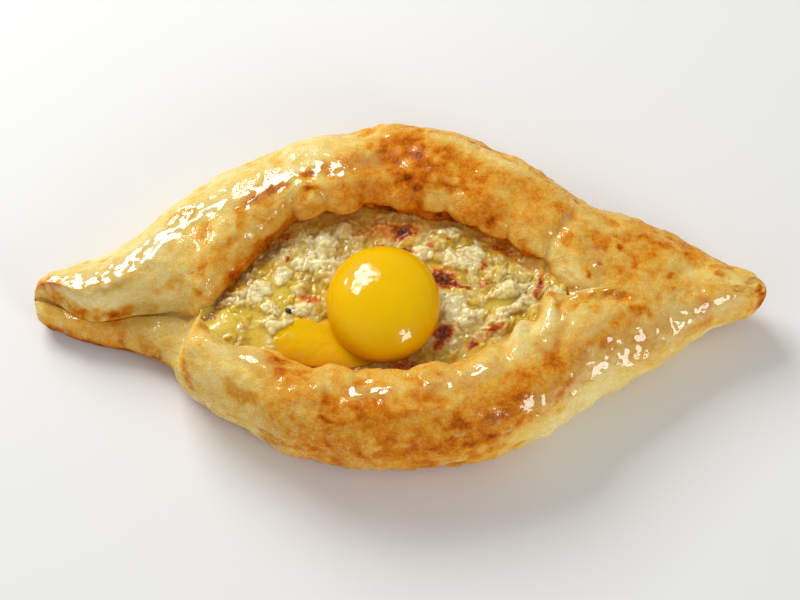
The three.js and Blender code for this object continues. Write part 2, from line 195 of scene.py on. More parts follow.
# %% The dough's dimensions
HALF_LENGTH = float(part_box("crust")[1][0]) / MM
RIM_HEIGHT, TIP_HEIGHT, CREST_POWER = 38, 18, 2.2
FAR_HALF_WIDTH, NEAR_HALF_WIDTH, NEAR_WIDENS = 25, (13.5, 19), (0, 55)
ROLL_NARROWING, ROLL_NARROWING_POWER = 0.42, 1.6
WALL_SHARE, MOUND_SHARE, BULGE_SHARE = 0.82, 0.75, 0.46  # of the way to the seam, and of the height
LOW_WALL_HEIGHTS, LOW_WALL_SINKS_AT = (13, 10), -100
FLOOR_THICKNESS, FILLING_LEVEL, SEAM_RISE = 9, 24, 2
EYE_CORNER = (-6, 16)  # how far inside the eye's end the floor starts and ends its fall
LEFT_TIP_LIFT, RIGHT_TIP_LIFT, TIP_LIFT_LENGTH = 1.5, 6, 34
far_edge = through([
    (-129, 8), (-116, 13.4), (-101, 18), (-89, 25), (-78, 36), (-60, 48.6), (-32, 59.5), (0, 65),
    (24, 60), (49, 48), (70, 34), (87, 29), (108, 16.2), (121, 7), (129, 4),
])
near_edge = through([
    (-129, -6.5), (-108, -13.8), (-86, -19.8), (-76, -23.5), (-71, -28.3), (-64, -36.5), (-54, -46.8),
    (-35, -58.9), (0, -64.5), (24, -61.5), (49, -51.8), (70, -37.8), (87, -27.5), (108, -11.4), (129, -2.4),
])
seam = through([
    (-129, 2), (-119, -1.6), (-113.5, -5.1), (-106, -7.6), (-99.5, -6.7), (-91, -5), (-80, -5), (-73, -7.4),
    (-66, -11.6), (-58, -11.4), (-48, -6.2), (-38, -2.5), (-24, -2.5), (10, -3.5), (46, -3.8), (60, -5),
    (80, -3.5), (129, 0.5),
])
EYE = SimpleNamespace(centre=-8.5, half_length=61.5, half_width=30, power=2.6, corner_power=0.95)
SHELF = SimpleNamespace(at=50, length=7, width=6)  # extra half width that blunts the far right corner
FLAP_START, CREASE_WIDTH = -70, 9
MOUND_FROM, MOUND_TO = 50, 78
SEAM_HALF_WIDTH = 0.8
WALL_FULLNESS, LOW_WALL_FULLNESS = 2.6, 2.1
RAMP_FULLNESS, RAMP_AT, RAMP_LENGTH = 1.5, 55, 12  # where the far wall runs out as a slope into the eye
TABLE_ANGLE = -math.pi / 3
RELIEF_TURN = (-0.9, 0.2)  # the relief of the outer arc fades in between these angles
print("bread", round(2 * HALF_LENGTH, 1), "mm long")


# %% How the section changes along the bread
def crest_height(x):
    """The rim's height in the middle and the tip's at both ends, going down as |x|^power."""
    return mix(RIM_HEIGHT, TIP_HEIGHT, (np.abs(x) / HALF_LENGTH) ** CREST_POWER)


def roll_half_width(x, sign):
    """From a roll's crest out to its side; the near roll widens towards the right."""
    middle = FAR_HALF_WIDTH if sign > 0 else mix(*NEAR_HALF_WIDTH, smooth(*NEAR_WIDENS, x))
    return middle * (1 - ROLL_NARROWING * (np.abs(x) / HALF_LENGTH) ** ROLL_NARROWING_POWER)


def low_wall(x):
    """1 where the near side is the flap's low wall."""
    return smooth(FLAP_START + CREASE_WIDTH / 2, FLAP_START - CREASE_WIDTH / 2, x)


def mound(x):
    """1 where both rolls have run together."""
    return smooth(MOUND_FROM, MOUND_TO, x)


def eye_half_width(x):
    """A lens: (1 - |share|^power)^corner_power of the full half width."""
    share = np.abs((x - EYE.centre) / EYE.half_length)
    return EYE.half_width * np.maximum(0, 1 - share**EYE.power) ** EYE.corner_power


def near_height(x):
    """Like the far crest, but only the low wall's height where the flap is."""
    wall = mix(*LOW_WALL_HEIGHTS, smooth(LOW_WALL_SINKS_AT, -HALF_LENGTH, x))
    return mix(crest_height(x), wall, low_wall(x))


def floor_height(x):
    """The eye's floor, climbing to the seam's own height past each corner of the eye."""
    right = mix(FILLING_LEVEL + SEAM_RISE, crest_height(x), mound(x))
    left = np.minimum(FILLING_LEVEL + SEAM_RISE, near_height(x) - SEAM_RISE)
    inside = EYE.half_length - np.abs(x - EYE.centre)
    return mix(np.where(x > 0, right, left), FLOOR_THICKNESS, smooth(*EYE_CORNER, inside))


def tip_lift(x):
    """How far the two tips curl up from the table."""
    lift = np.where(x < 0, LEFT_TIP_LIFT, RIGHT_TIP_LIFT)
    return lift * smooth(HALF_LENGTH - TIP_LIFT_LENGTH, HALF_LENGTH, np.abs(x))


def roll_side(x, sign):
    """Where one side's edge, crest and inner foot lie; sign is 1 for the far side, -1 for the near one."""
    edge = far_edge(x) if sign > 0 else near_edge(x)
    shelf = SHELF.width * bell(x, SHELF.at, SHELF.length) if sign > 0 else 0 * x
    inner = seam(x) + sign * np.maximum(SEAM_HALF_WIDTH, eye_half_width(x) + shelf)
    whole = np.abs(edge - inner)
    rolled = np.minimum(roll_half_width(x, sign), WALL_SHARE * whole)
    walled = rolled if sign > 0 else mix(rolled, WALL_SHARE * whole, low_wall(x))
    half = mix(walled, MOUND_SHARE * whole, mound(x))
    height = crest_height(x) if sign > 0 else near_height(x)
    ramp = bell(x, RAMP_AT, RAMP_LENGTH) if sign > 0 else 0 * x
    fullness = mix(mix(WALL_FULLNESS, LOW_WALL_FULLNESS, low_wall(x)), RAMP_FULLNESS, ramp)
    return SimpleNamespace(
        sign=sign, inner=inner, half=half, height=height, crest=edge - sign * half,
        bulge=BULGE_SHARE * height, fullness=fullness, mound=mound(x),
    )


# %% The two arcs of a side
def outer_arc(s, turn):
    """An ellipse over the roll's own bulge: across as cos(turn), up as sin(turn), from -60 to 90 degrees.

    Each point comes with the way relief moves it, fading out towards the table.
    """
    rise = np.where(turn > 0, s.height - s.bulge, s.bulge / -math.sin(TABLE_ANGLE))
    push = smooth(*RELIEF_TURN, turn) + 0 * s.height
    y = s.crest + s.sign * s.half * np.cos(turn)
    z = s.bulge + rise * np.sin(turn)
    return np.stack([y, z, s.sign * np.cos(turn) * push, np.sin(turn) * push], axis=-1)


def inner_arc(s, turn, foot):
    """A superellipse quarter from the crest to the foot: sin(turn)^(2/n) across, cos(turn)^(2/n) down.

    The way relief moves it fades out over the last 6 mm above the filling.
    """
    power = 2 / s.fullness
    across, up = np.sin(turn), np.maximum(0, np.cos(turn))
    y = mix(s.crest, s.inner, across**power)
    z = foot + (s.height - foot) * up**power
    push = np.minimum(1, 0.25 + 2 * up) * smooth(FILLING_LEVEL, FILLING_LEVEL + 6, z)
    return np.stack([y, z, -s.sign * across * push * (1 - s.mound), mix(up * push, 1, s.mound)], axis=-1)


# %% [markdown]
# Relief comes in the same order as in the kitchen. Kneading leaves broad lumps, folding and pinching leave
# grooves, and the lips of the rolls swell into rounded lobes where they hang over the hot filling.

# %% Lumps, folds and lobes of the lips
FOLDS = [  # from x, y to x, y, depth, width
    (50, 10, 61, 23, 1.6, 2.4), (54, -9, 76, -8, 2.0, 2.2), (43, -26, 48, -14, 1.8, 2.2),
    (-52, -33, -44, -44, 1.5, 3.0), (97, 4, 106, 7, 1.5, 3.0), (113, 2, 121, 0, 1.4, 1.8),
    (117, -2.4, 127, -3.2, 2.0, 1.2), (117, 4.5, 123, 0.5, 1.4, 1.2), (65, 4, 65.6, 12, 1.1, 2.4),
    (-71, -9, -73, -22, 1.5, 1.3), (35, -31, 38, -23, 1.3, 1.4), (54, -18, 56, -9, 1.2, 1.4),
]
FAR_LOBES = [  # x, half length, how far it swells
    (-46, 5, 1.2), (-31.5, 4.2, 2.6), (-18.5, 6, 2.8), (-0.5, 3.8, 1.8), (10, 4, 1.2), (24, 6.5, 2.0),
    (47, 7, 3.2),
]
NEAR_LOBES = [
    (-50, 8, 1.5), (-20, 9, 1.2), (12, 7, 1.5), (29, 4.5, 2.5), (40, 4, 3.2), (52, 3.5, 3.0),
]
LEAN, LEAN_REACH, LEAN_FROM = 0.45, 14, -12  # mm along for each mm of y past LEAN_FROM


def lumps(x, y):
    """Broad lumps, up to about 1 mm high: three sine waves that cross at odd angles."""
    return (
        0.5 * np.sin(x / 6.1 + 0.6 * np.sin(y / 9)) * np.sin(y / 7.3 + 1.2)
        + 0.35 * np.sin(x / 10.7 + y / 13 + 2.1)
        + 0.25 * np.sin(x / 4.3 - y / 5.9)
    )


def groove(x, y, x0, y0, x1, y1, width):
    """A bell round the straight line from (x0, y0) to (x1, y1)."""
    dx, dy = x1 - x0, y1 - y0
    t = np.clip(((x - x0) * dx + (y - y0) * dy) / (dx * dx + dy * dy), 0, 1)
    return bell(np.hypot(x - x0 - t * dx, y - y0 - t * dy), 0, width)


def fold_depth(x, y):
    """The sum of depth * groove over the folds."""
    return sum(depth * groove(x, y, x0, y0, x1, y1, width) for x0, y0, x1, y1, depth, width in FOLDS)


def lobe_swell(x, y, push_y):
    """Bells along each lip, felt only where the surface faces the filling."""
    is_far = y > seam(x)
    inward = np.maximum(0, np.where(is_far, -push_y, push_y))
    far, near = (sum(out * bell(x, at, width) for at, width, out in row) for row in (FAR_LOBES, NEAR_LOBES))
    return inward * np.where(is_far, far, near)


def leaned(x, y):
    """The near roll's start leans along the crease beside the flap."""
    return x + LEAN * bell(x, FLAP_START, LEAN_REACH) * np.minimum(0, y - LEAN_FROM)


# %% [markdown]
# Where the rolls end above the filling, the dough puffed into pillows with tight creases between them, and
# the hot butter kept the wall below soft, so that it sank back. The flap's lip hangs over the low wall in
# the same way. A pillow is the upper part of a ball: steep at its rim, so that two meet in a crease.

# %% Pillows, the hollow below them, and the flap's lip
FAR_PILLOWS = [  # x, z, half length, half height, how far it swells
    (-64, 30, 5, 4, 0.9), (-57, 31, 5.5, 4, 1.4), (-50, 31, 4, 4, 0.8), (-43.5, 31, 5.5, 4.5, 1.6),
    (-31.5, 29.8, 6, 6, 3.4), (-18.8, 29.8, 7.6, 6, 3.4), (-6, 32, 5, 4, 0.8), (1.5, 31, 5, 5, 2.4),
    (11, 32, 6, 4.5, 1.4), (22, 31.5, 7, 5, 2.2), (32, 30.5, 6, 5.5, 3.0), (45, 29.5, 7.5, 6, 3.0),
]
NEAR_PILLOWS = [
    (-59, 27.5, 11, 9, 1.8), (-47, 29, 9, 7, 1.8), (-36, 32, 7, 5, 0.8), (-21, 31.5, 8, 5.5, 2.0),
    (-6, 31.5, 10, 5.5, 3.0), (10, 31.5, 8, 5.5, 2.6), (22, 32, 6, 5, 1.4), (32, 31.5, 5.5, 5.5, 2.2),
    (42, 31.5, 6.5, 6, 3.0), (51, 30.5, 5, 5.5, 2.8),
]
HOLLOW_TOP, HOLLOW_FADE, NEAR_HOLLOW_SHARE = 29.5, 3, 0.6
hollow_depth = through([
    (-70, 0), (-64, -2.4), (-54, -3), (-44, -1.6), (-36, 0.4), (-27, 0.8), (-20, 2), (-14, 2.6), (-8, 1.4),
    (0, 0.5), (26, 0.5), (33, 2.2), (39, 1.8), (46, 0.4), (56, 0),
])
FLAP_LIP = SimpleNamespace(out=2.4, over_seam=2.4, tall=2.2, weak=0.3, weakens=(-92, -76), end=14)


def pillows(x, z, rows):
    """The highest of out * (1 - r^2)^0.6 over the rows."""
    top = np.zeros(np.broadcast(x, z).shape)
    for x0, z0, half_long, half_tall, out in rows:
        r2 = ((x - x0) / half_long) ** 2 + ((z - z0) / half_tall) ** 2
        top = np.maximum(top, out * np.clip(1 - r2, 0, 1) ** 0.6)
    return top


def overhang(x, z, foot):
    """How far the far and the near wall of the eye lean inwards; the flap's lip is on the far one."""
    open_here = smooth(0, 5, eye_half_width(x))
    hollow = hollow_depth(x) * smooth(HOLLOW_TOP, HOLLOW_TOP - HOLLOW_FADE, z)
    lip = FLAP_LIP.out * bell(z, foot + FLAP_LIP.over_seam, FLAP_LIP.tall) * low_wall(x)
    lip *= smooth(HALF_LENGTH, HALF_LENGTH - FLAP_LIP.end, -x)
    lip *= mix(1, FLAP_LIP.weak, smooth(*FLAP_LIP.weakens, x))
    far = open_here * (pillows(x, z, FAR_PILLOWS) - hollow) + (1 - open_here) * lip
    near = open_here * (pillows(x, z, NEAR_PILLOWS) - NEAR_HOLLOW_SHARE * hollow)
    return far, near


# %% [markdown]
# The section now runs along the bread. At each station it starts under the middle, goes out and up over the
# near roll, down its inner wall, over the floor, and back over the far roll. Near both tips it shrinks to a
# point as a circle does, so that the ends are round.

# %% The dough, section by section
STATIONS, TIP_CROWDING = 350, 0.2  # a share of cosine spacing brings the stations closer at the tips
BOTTOM, OUTER, INNER, FLOOR = 4, 80, 46, 5  # points of each stretch of the section
TIP_ROUND, TIP_CENTRE = 6, 0.45  # mm of length, and a share of the crest's height


def crust_surface():
    """Rings along x: near bottom, near outer arc, near inner arc, floor, and the far side in reverse."""
    v = np.linspace(0, 1, STATIONS + 1)[:, None]
    x = HALF_LENGTH * mix(2 * v - 1, -np.cos(math.pi * v), TIP_CROWDING)
    near, far = roll_side(x, -1), roll_side(x, 1)
    floor = floor_height(x)
    outer_turn = np.linspace(TABLE_ANGLE, math.pi / 2, OUTER, endpoint=False)[None]
    inner_turn = np.linspace(0, math.pi / 2, INNER + 1)[None]
    near_outer, far_outer = outer_arc(near, outer_turn), outer_arc(far, outer_turn)
    middle = mix(near_outer[:, :1, 0], far_outer[:, :1, 0], 0.5)
    share = np.linspace(0, 1, BOTTOM, endpoint=False)[None]

    def bottom(outer):
        y = mix(middle, outer[:, :1, 0], share)
        return np.stack([y, 0 * y, 0 * y, 0 * y], axis=-1)

    across = (np.arange(1, FLOOR) / FLOOR)[None]
    floor_y = mix(near.inner, far.inner, across)
    flat = np.stack([floor_y, floor + 0 * floor_y, 0 * floor_y, near.mound + 0 * floor_y], axis=-1)
    near_half = [bottom(near_outer), near_outer, inner_arc(near, inner_turn, floor)]
    far_half = [bottom(far_outer), far_outer, inner_arc(far, inner_turn, floor)]
    section = np.concatenate([*near_half, flat, *(part[:, ::-1] for part in reversed(far_half))], axis=1)
    return x, section


x, section = crust_surface()
y, z, push_y, push_z = np.moveaxis(section, -1, 0)
relief = lumps(x, y) - fold_depth(x, y) + lobe_swell(x, y, push_y)
column = np.arange(section.shape[1])
on_near_wall = (column >= BOTTOM + OUTER) & (column <= BOTTOM + OUTER + INNER)
over_far, over_near = overhang(x, z, floor_height(x))
y = y - over_far * on_near_wall[::-1] + over_near * on_near_wall
past = np.clip(TIP_ROUND - (HALF_LENGTH - np.abs(x)), 0, TIP_ROUND) / TIP_ROUND
scale = np.sqrt(1 - past**2)
tip_y = mix(near_edge(x), far_edge(x), 0.5)
dough = np.stack([
    leaned(x + 0 * y, y),
    mix(tip_y, y + push_y * relief, scale),
    mix(TIP_CENTRE * crest_height(x), np.maximum(0, z + push_z * relief), scale) + tip_lift(x),
], axis=-1)
print("dough grid", dough.shape, "height", round(float(dough[..., 2].max()), 1), "mm")

# %% Where each point lies on its roll
steps = np.linalg.norm(np.diff(dough, axis=1), axis=-1)
arc = np.concatenate([np.zeros((STATIONS + 1, 1)), np.cumsum(steps, axis=1)], axis=1)
near_crest = BOTTOM + OUTER
far_crest = dough.shape[1] - 1 - near_crest
is_far = np.arange(dough.shape[1])[None] > (near_crest + far_crest) / 2
# down is the way from the crest: positive over the outside, negative towards the filling
down = np.where(is_far, arc - arc[:, far_crest, None], arc[:, near_crest, None] - arc)
on_far = np.broadcast_to(is_far, down.shape)
print("the crests are points", near_crest, "and", far_crest, "of each ring")

# %% [markdown]
# Marks on the dough, of butter and of browning, are named by rows: where a patch lies along the bread, how
# far down from the crest of its roll, its two half sizes, how it leans, and how strong it is. A little
# noise bends the outlines, so that no patch is an ellipse.


# %% Patches on the dough
def patches(rows, along, around):
    """1 - the product of (1 - strength * exp(-r^3)) over the rows: patches that overlap never pass 1."""
    left = np.ones_like(along)
    for x0, down0, half_along, half_around, lean, strength in rows:
        u, v = own_axes(along - x0, around - down0, math.radians(lean), half_along, half_around)
        left *= 1 - strength * np.exp(-np.hypot(u, v) ** 3)
    return 1 - left


# one shift along the bread and one around the roll: broad waves 6 mm long and finer ones of 2.4 mm
bend = [1.3 * noise(dough, 6, 31 + n) + 1.1 * noise(dough, 2.4, 41 + n) for n in range(2)]
along, around = dough[..., 0] + bend[0], down + bend[1]

# %% Where butter was brushed on
FAR_GLAZE = [
    (-108, 0.8, 10, 6, 0, 1), (-98, 2.4, 9, 5, 0, 1), (-90, 3.2, 9, 5, 0, 1), (-81, 3.2, 9, 5, 0, 1),
    (-68, 3, 12, 4, 0, 0.85), (-51, -1, 7, 4.5, 0, 1), (-42, 1, 6, 4, 0, 1), (-28.5, 2.4, 4.5, 3.4, 0, 1),
    (-19.7, 0.5, 4.2, 4.4, 0, 1), (-12.1, 3.2, 6, 4, 0, 1), (-8, 4.7, 2.6, 4, 0, 1),
    (67, -1.5, 3.4, 5, 0, 1), (67.6, -7.7, 3, 4, 0, 1), (-120, -1, 6, 5, 0, 0.6), (58, 2.6, 6, 1.4, 65, 1),
]
NEAR_GLAZE = [
    (-54, -7.5, 9, 4.5, 0, 1), (-43, -9, 6, 3, 0, 0.8), (-25.8, -2.2, 3.4, 2.6, 0, 0.9),
    (-13.8, -3, 6, 3.4, 0, 1), (-6.5, -5.2, 4, 2.4, 0, 0.9), (14.9, -5.2, 8, 3, 0, 1),
    (27.3, -5.5, 8, 4, 0, 1), (51.2, -6.9, 6, 5, -30, 1), (61.8, 14.2, 7, 6, 0, 1), (71.4, 17, 7, 6, 0, 1),
    (78, 13, 9, 6, 0, 1), (88.8, 10, 11, 6, 0, 1), (97.7, 5.4, 11, 5, 0, 1), (111.4, 5, 9, 3.6, 0, 0.95),
    (46.5, 13, 7, 4, 0, 1), (31.6, 12.8, 4, 2.6, 0, 0.9), (21.5, 13.3, 3, 2, 0, 0.9),
    (91.8, -2.1, 5, 1.8, 0, 0.9), (66, 2, 9, 4, 0, 0.7),
]
glaze = np.where(on_far, patches(FAR_GLAZE, along, around), patches(NEAR_GLAZE, along, around))
print("butter on", round(100 * float((glaze > 0.5).mean())), "% of the points")

# %% [markdown]
# The broad form is right now, but still too calm. Real dough has smaller lumps, skin that tightened into
# fine wrinkles along the roll while it baked, and blisters where gas sat just under the surface. They are
# worked out at each point and pushed along the surface's own normals.

# %% Fine relief of the dough
RELIEF_LAYERS = [  # size, height and seed of noise, in mm
    (14, 0.7, 3), (6.5, 0.5, 7), (3.4, 0.4, 13), (2.1, 0.2, 17), (1.5, 0.1, 18),
]
WRINKLE_STRETCH, WRINKLES = np.array([0.22, 1, 1]), (1.9, 0.16, 19)  # long along the bread
BUTTER_RIPPLES = [(2.8, 0.22, 27), (1.7, 0.12, 28)]  # where butter made the skin shrink and ripple
BLISTERS, BLISTER_RADII, BLISTER_STEEPNESS = 120, (1.3, 3.8), 0.11


def blisters(points, count, seed):
    """Low domes, height * (1 - r^2)^2, at random points of the surface."""
    rng = np.random.default_rng(seed)
    flat = points.reshape(-1, 3)
    centres = flat[rng.integers(0, len(flat), count)]
    radii = mix(*BLISTER_RADII, rng.random(count) ** 2)
    heights = BLISTER_STEEPNESS * radii * rng.uniform(0.5, 1.2, count)
    total = np.zeros(len(flat))
    for centre, radius, height in zip(centres, radii, heights):
        r2 = ((flat - centre) ** 2).sum(axis=1) / radius**2
        total = np.maximum(total, height * np.clip(1 - r2, 0, 1) ** 2)
    return total.reshape(points.shape[:-1])


def noise_layers(points, layers):
    """The sum of height * noise over the layers."""
    return sum(height * noise(points, size, seed) for size, height, seed in layers)


fine = noise_layers(dough, RELIEF_LAYERS) + noise_layers(dough * WRINKLE_STRETCH, [WRINKLES])
fine += blisters(dough, BLISTERS, 23)
fine += glaze * noise_layers(dough, BUTTER_RIPPLES)
calm = smooth(0.5, 5, dough[..., 2]) * np.sqrt(scale)  # none at the table, little at the tips
under_cheese = smooth(FILLING_LEVEL - 4, FILLING_LEVEL, dough[..., 2]) + smooth(0, 4, down)
dough = dough + outward(dough) * (fine * calm * np.clip(under_cheese, 0, 1))[..., None]
dough[..., 2] = np.maximum(dough[..., 2], 0)
print("fine relief from", round(float(fine.min()), 2), "to", round(float(fine.max()), 2), "mm")

# %% Make the crust
rings = dough[1:-1]
crust = closed_mesh("baked_crust", rings, dough[0, 0], dough[-1, 0])  # a whole ring is one point at each tip

# %% [markdown]
# Baking colours dough by how much heat reached it. A number says how brown each point is, from 0 for pale
# dough to 1 for scorched; further down the same number also takes the painted shade of the inner walls and
# the painted light of the near roll's skirt. A painter would dab the spots on by hand. Rows do the same and
# can be moved or dropped one by one: first the spots that browned, then the places that stayed pale.

# %% Spots that browned on the far roll
FAR_BAKE = [
    # the flap: its tip, its lip and small spots
    (-122, -1, 6, 5, 0, 0.75), (-111, -11, 14, 3, -18, 0.4), (-118, -9, 5, 2, -30, 0.35),
    (-110, -11.5, 6, 2.4, -15, 0.3), (-102, -14.5, 7, 2.4, -15, 0.45), (-94, -16, 7, 2.4, 0, 0.5),
    (-110.8, 13.4, 1.6, 1, 20, 0.8), (-88.4, -2.6, 1.1, 0.7, 0, 0.9), (-95.5, -1.3, 5, 1.8, 0, 0.3),
    (-77.5, -2.5, 3, 2.4, 0, 0.25), (-57.7, -14.1, 2.2, 2, 0, 0.5), (-68, -19, 1.6, 1.4, 0, 0.45),
    (-68.4, -27, 2, 1.6, 0, 0.4), (-75, -12.7, 3, 2, 0, 0.25), (-52, -21, 9, 3, 12, 0.3),
    # the roll over the eye
    (-46, -1.5, 10, 2.2, 8, 0.7), (-31, -4.6, 2.8, 2.2, 0, 0.8), (-29, 2, 11, 2.6, 10, 0.75),
    (-19.5, 24, 4.5, 1.8, 0, 0.6), (-1.6, 10, 11, 5.5, 0, 0.6), (3, 4, 4.4, 3, 0, 0.85),
    (-0.5, -2.5, 3.2, 2.6, 0, 0.75), (5.4, -7, 3.2, 2.8, 0, 0.8), (20, -4.2, 7, 3.4, 3, 0.7),
    (29.5, -6, 2.6, 1.6, 0, 0.55), (-13.8, -8, 9, 3, 0, 0.4), (-14, 1, 9, 6, 0, 0.35),
    (16, 4, 15, 7, 0, 0.6), (42, 4, 10, 6, 0, 0.3), (30, -6, 16, 4, -8, 0.3), (30, -13, 6, 4, 0, 0.5),
    # the mound and the right tip
    (57, -1.5, 4, 1.5, 0, 0.5), (80.9, 11, 4.6, 2.6, 0, 0.55), (76.6, 5.9, 1.6, 1.5, 0, 1),
    (68.3, 0.9, 1.8, 1.2, 0, 0.65), (68.8, -3.3, 1.1, 0.9, 0, 0.9), (64.2, -9.9, 1.1, 0.9, 0, 0.9),
    (60, -15.5, 3, 0.8, 10, 0.5), (78, -7, 3, 1.8, 0, 0.6), (77, -6, 6, 3, 0, 0.3), (83, 3, 9, 6, 0, 0.3),
    (93.6, -4.7, 1.8, 1.2, 0, 0.6), (111, -0.3, 1.6, 1, 0, 0.55), (111, 2.5, 5, 2.5, 0, 0.4),
    (96, 8, 14, 1.5, -21, 0.6), (103, 7.5, 6, 1.6, 0, 0.4), (110, 11, 9, 1.6, 0, 0.3),
    (122.5, -0.6, 3, 1.1, 0, 0.6),
    # burnt specks on the outer edge
    (11.2, 18.7, 1, 0.7, 0, 0.9), (25, 19.3, 1.2, 0.8, 0, 1), (54.2, 17.5, 1.2, 0.8, 0, 1),
]

# %% Spots that browned on the near roll
NEAR_BAKE = [
    # the foot of the low wall
    (-122.5, 8.3, 2.6, 3.5, 0, 1), (-116, 9, 8, 2, 0, 0.6), (-103, 11.5, 9, 2, 4, 0.6),
    (-89, 15.5, 8, 2.4, 8, 0.45), (-71.4, 17.8, 2.2, 2.2, 0, 0.6),
    # the roll before the eye
    (-39.6, -12.5, 2.8, 2, 0, 0.85), (-41, 9, 6, 8, 0, 0.3), (-40, -4, 11, 4, 0, 0.3),
    (-25, 1.4, 1.4, 5, 0, 0.5), (-23.7, 8, 3.5, 1.2, -8, 0.65), (-13.7, 3.5, 5.5, 3, 25, 0.55),
    (8, 18, 34, 8, 0, 0.4), (6.9, -4.6, 5, 2.4, 0, 0.35), (6, 3.5, 6, 2, 0, 0.4),
    (-6, 1, 5, 5, 0, 0.45), (21, -1, 4, 5, 0, 0.4), (35.2, 10.5, 8, 3.8, 0, 0.6),
    (41.2, 19.5, 5.5, 1.4, -20, 0.7), (25.7, 19.6, 7, 1.4, 0, 0.7), (16.5, 19.2, 12, 3.6, 0, 0.55),
    # the mound and the right tip
    (78, 11, 22, 8, 0, 0.6), (56.2, 13.7, 4, 2, -15, 0.6), (54.4, -7, 2.8, 2.4, 0, 0.5),
    (53.8, -18.8, 1.6, 2.2, 0, 0.5), (63.7, -12.5, 8, 0.8, 0, 0.5), (72.4, -9, 2.4, 1.6, 0, 0.5),
    (82.4, 1.9, 5, 2, 5, 0.65), (74.4, 8.3, 1.4, 5, 0, 0.5), (88.7, 22.3, 2.4, 2, 0, 0.6),
    (93, -4.5, 2, 1.6, 0, 0.7), (105.9, 2.3, 2.2, 1.2, 0, 0.7), (117.7, 15.4, 7, 2.5, 0, 0.5),
    (120, 2.3, 4.5, 0.8, 0, 0.7), (126.3, 1.7, 2.6, 3.5, 0, 0.9),
]

# %% Places that stayed pale
FAR_PALE = [
    (-103, -6, 13, 5, -10, 0.4), (-71, -15, 9, 7, 0, 0.4), (-32, 12, 12, 7, 0, 0.3),
    (14, -12, 8, 6, 0, 0.6), (22, 14, 14, 5, 0, 0.4), (28, 9, 9, 4, 0, 0.35), (40, 12, 10, 5, 0, 0.4),
    (46, -15, 9, 6, 0, 0.4), (62, -17, 11, 7, 0, 0.8), (70, 13, 8, 5, 0, 0.5), (107, 1, 12, 7, 0, 0.6),
    (121, -3, 7, 5, 0, 0.8),
]
NEAR_PALE = [
    (-127, -1, 3, 4, 0, 0.8), (-34, 10, 6, 5, 0, 0.35), (-21, -6, 6, 6, 0, 0.35), (-9.5, 14, 9, 4, 0, 0.35),
    (2.5, -4, 5, 6, 0, 0.4), (17, 1, 7, 5, 0, 0.3), (28, -12, 8, 5, 0, 0.4), (40, -16, 5, 6, 0, 0.85),
    (41, -6, 6, 5, 0, 0.6), (49, -16, 7, 7, 0, 0.9), (61, -8, 9, 5, 0, 0.6), (67, 6, 6, 5, 0, 0.4),
    (70, -3, 8, 4, 0, 0.2), (96, 6, 9, 5, 0, 0.4), (100.5, -1, 5, 3, 0, 0.5), (122, 1, 6, 4, 0, 0.5),
]

marks = np.where(on_far, patches(FAR_BAKE, along, around), patches(NEAR_BAKE, along, around))
pale = np.where(on_far, patches(FAR_PALE, along, around), patches(NEAR_PALE, along, around))
print("browned spots on", round(100 * float((marks > 0.3).mean())), "% of the points")

# %% [markdown]
# Under the spots lie broad tones. Over the middle both rolls saw the most heat. The flap at the left and the
# outside of the near roll at the right stayed pale, and the near roll's skirt is made paler still as painted
# light from the bright floor. The walls above the filling are browner, partly stewed in hot butter and
# partly painted shade, darkest under the lips; the low wall under the flap is browner too, partly as painted
# shade.
# A thin line at the table browned on the hot stone.

# %% Broad tones of the two rolls
TONE = SimpleNamespace(
    far=(0.12, 0.4), flap_tip=0.08, near=(0.2, 0.48), near_right=-0.12, near_inside=-0.18,
    low_wall=(0.36, 0.18), low_wall_foot=0.35, pale_side=-0.3,
)


def span(value, rise, fall):
    """1 in a stretch that fades in between the two ends of rise and out between those of fall."""
    return smooth(*rise, value) * smooth(*fall, value)


px, pz = dough[..., 0], dough[..., 2]
far_tone = mix(*TONE.far, smooth(-45, 10, px)) + TONE.flap_tip * smooth(-105, -122, px)
near_tone = mix(*TONE.near, smooth(-52, -30, px)) + TONE.near_right * smooth(40, 80, px)
near_tone += TONE.near_inside * smooth(3, -6, around) * span(px, (-42, -32), (62, 50))
# The low wall under the flap is browner than the roll: partly real browning, partly painted shade under the
# flap's lip; its foot browns more on the stone
low_wall_tone_and_shade = mix(*TONE.low_wall, smooth(-100, -84, px)) + TONE.low_wall_foot * smooth(10, 2, pz)
near_tone = mix(near_tone, low_wall_tone_and_shade, smooth(-68, -74, px))
pale_side = smooth(8, 16, around) * smooth(30, 62, px)
near_tone *= 1 + TONE.pale_side * pale_side
tone = np.where(on_far, far_tone, near_tone) * (1 - pale)

# %% Walls above the filling, browned and painted with shade, and the edge on the table
# How brown the inner walls are made, left and right, and the share of it: partly real browning, partly
# painted shade
WALL_BROWN_AND_SHADE = SimpleNamespace(tone=(0.2, 0.3), far=(1, 0.5), near=0.3)  # how brown, left and right; share of it
# How much darker the hollow under the lips gets, left and right: partly butter-stewed dough, partly painted
# shade
HOLLOW_BROWN_AND_SHADE = SimpleNamespace(far=(0.5, 0.3), near=0.3, left_painted_shadow=0.6)
EDGE = SimpleNamespace(line=0.75, above=0.2, spared=0.9)

to_the_right = smooth(20, 34, px)
# The inner sides of the rolls darken towards the filling: partly browned, partly painted shade of walls
# turned away from the light
wall_brown_and_shade = mix(*WALL_BROWN_AND_SHADE.tone, smooth(-40, 0, px)) * smooth(0, -9, around) * span(px, (-84, -70), (52, 40))
wall_brown_and_shade *= np.where(on_far, mix(*WALL_BROWN_AND_SHADE.far, to_the_right), WALL_BROWN_AND_SHADE.near)
